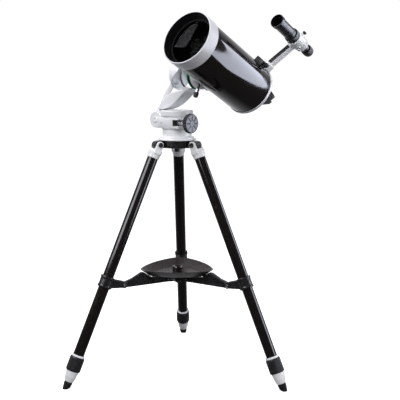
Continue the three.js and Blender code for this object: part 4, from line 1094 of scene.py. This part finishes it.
def softbox(name, place, target, size, radiance):
    """A lit panel that lights surfaces but doesn't show in reflections."""
    light = bpy.data.objects.new(name, bpy.data.lights.new(name, "AREA"))
    light.data.shape = "RECTANGLE"
    light.data.size = light.data.size_y = size
    light.data.energy = radiance * math.pi * size * size
    light.matrix_world = facing(place, target)
    light.visible_glossy = False
    bpy.context.scene.collection.objects.link(light)


def mirrored_panel(name, place, target, width, height, radiance, colour, roll=0):
    """A glowing card that only shows in reflections."""
    card = bpy.data.objects.new(name, bpy.data.meshes.new(name))
    card.data.from_pydata(*flat_panel(width / 2, height / 2))
    card.matrix_world = facing(place, target, roll)
    glow = Finish(name, 1.0, specular=0.0)
    glow.colour(glow.noise(2, 1), (0, 0, 0), (0.001, 0.001, 0.001))
    glow.shader.inputs["Emission Color"].default_value = (*colour, 1)
    glow.shader.inputs["Emission Strength"].default_value = radiance
    glow.material.cycles.emission_sampling = "NONE"
    card.data.materials.append(glow.material)
    card.visible_camera = False
    card.visible_diffuse = False
    card.visible_transmission = False
    card.visible_shadow = False
    bpy.context.scene.collection.objects.link(card)


def around(bearing, height, distance):
    """A step that far away. Bearings run from the camera's side to the right."""
    level = distance * math.cos(math.radians(height))
    return Vector((level * math.sin(math.radians(bearing)),
        -level * math.cos(math.radians(bearing)), distance * math.sin(math.radians(height))))


def surround(nodes, links, axis, low, high, start, end):
    """A background whose strength goes from low to high between two places on an axis."""
    direction = nodes.new("ShaderNodeTexCoord").outputs["Generated"]
    parts = nodes.new("ShaderNodeSeparateXYZ")
    span = nodes.new("ShaderNodeMapRange")
    for socket, value in (("From Min", start), ("From Max", end), ("To Min", low),
            ("To Max", high)):
        span.inputs[socket].default_value = value
    background = nodes.new("ShaderNodeBackground")
    background.inputs["Color"].default_value = (0.95, 0.96, 1.0, 1)
    links.new(direction, parts.inputs[0])
    links.new(parts.outputs[axis], span.inputs["Value"])
    links.new(span.outputs["Result"], background.inputs["Strength"])
    return background.outputs[0]


def mixed(nodes, links, *sources):
    """The second source where the factor is 0, and the third where it is 1."""
    mix = nodes.new("ShaderNodeMixShader")
    for source, socket in zip(sources, mix.inputs):
        links.new(source, socket)
    return mix.outputs[0]


def studio():
    world = bpy.data.worlds.new("studio")
    world.use_nodes = True
    bpy.context.scene.world = world
    nodes, links = world.node_tree.nodes, world.node_tree.links
    backdrop = nodes["Background"]
    backdrop.inputs["Color"].default_value = (1, 1, 1, 1)
    backdrop.inputs["Strength"].default_value = 1.0
    ambient = surround(nodes, links, *AMBIENT)
    reflected = surround(nodes, links, *REFLECTED)
    path = nodes.new("ShaderNodeLightPath")
    unseen = mixed(nodes, links, path.outputs["Is Glossy Ray"], ambient, reflected)
    seen = mixed(nodes, links, path.outputs["Is Camera Ray"], unseen, backdrop.outputs[0])
    links.new(seen, nodes["World Output"].inputs["Surface"])
    middle = AXIS_FOOT + Vector((0, 0, LIT_HEIGHT))
    for name, bearing, height, size, radiance in SOFTBOXES:
        softbox(name, middle + around(bearing, height, LIGHT_DISTANCE), middle, size, radiance)
    band_target = OPTICS.translation + Vector((0, 0.027, -0.196))
    band_at = OPTICS.translation + Vector((1.5, 0.027, -0.196))
    mirrored_panel("band_panel", band_at, band_target, 0.52, 1.85, 9, (0.82, 0.86, 1.0), -42.3)
    mirrored_panel("strip_panel", middle + Vector((-1.42, -1.0, 1.0)), middle, 1.6, 1.6, 8,
        (0.92, 0.92, 1.0))


pale_floor()
studio()
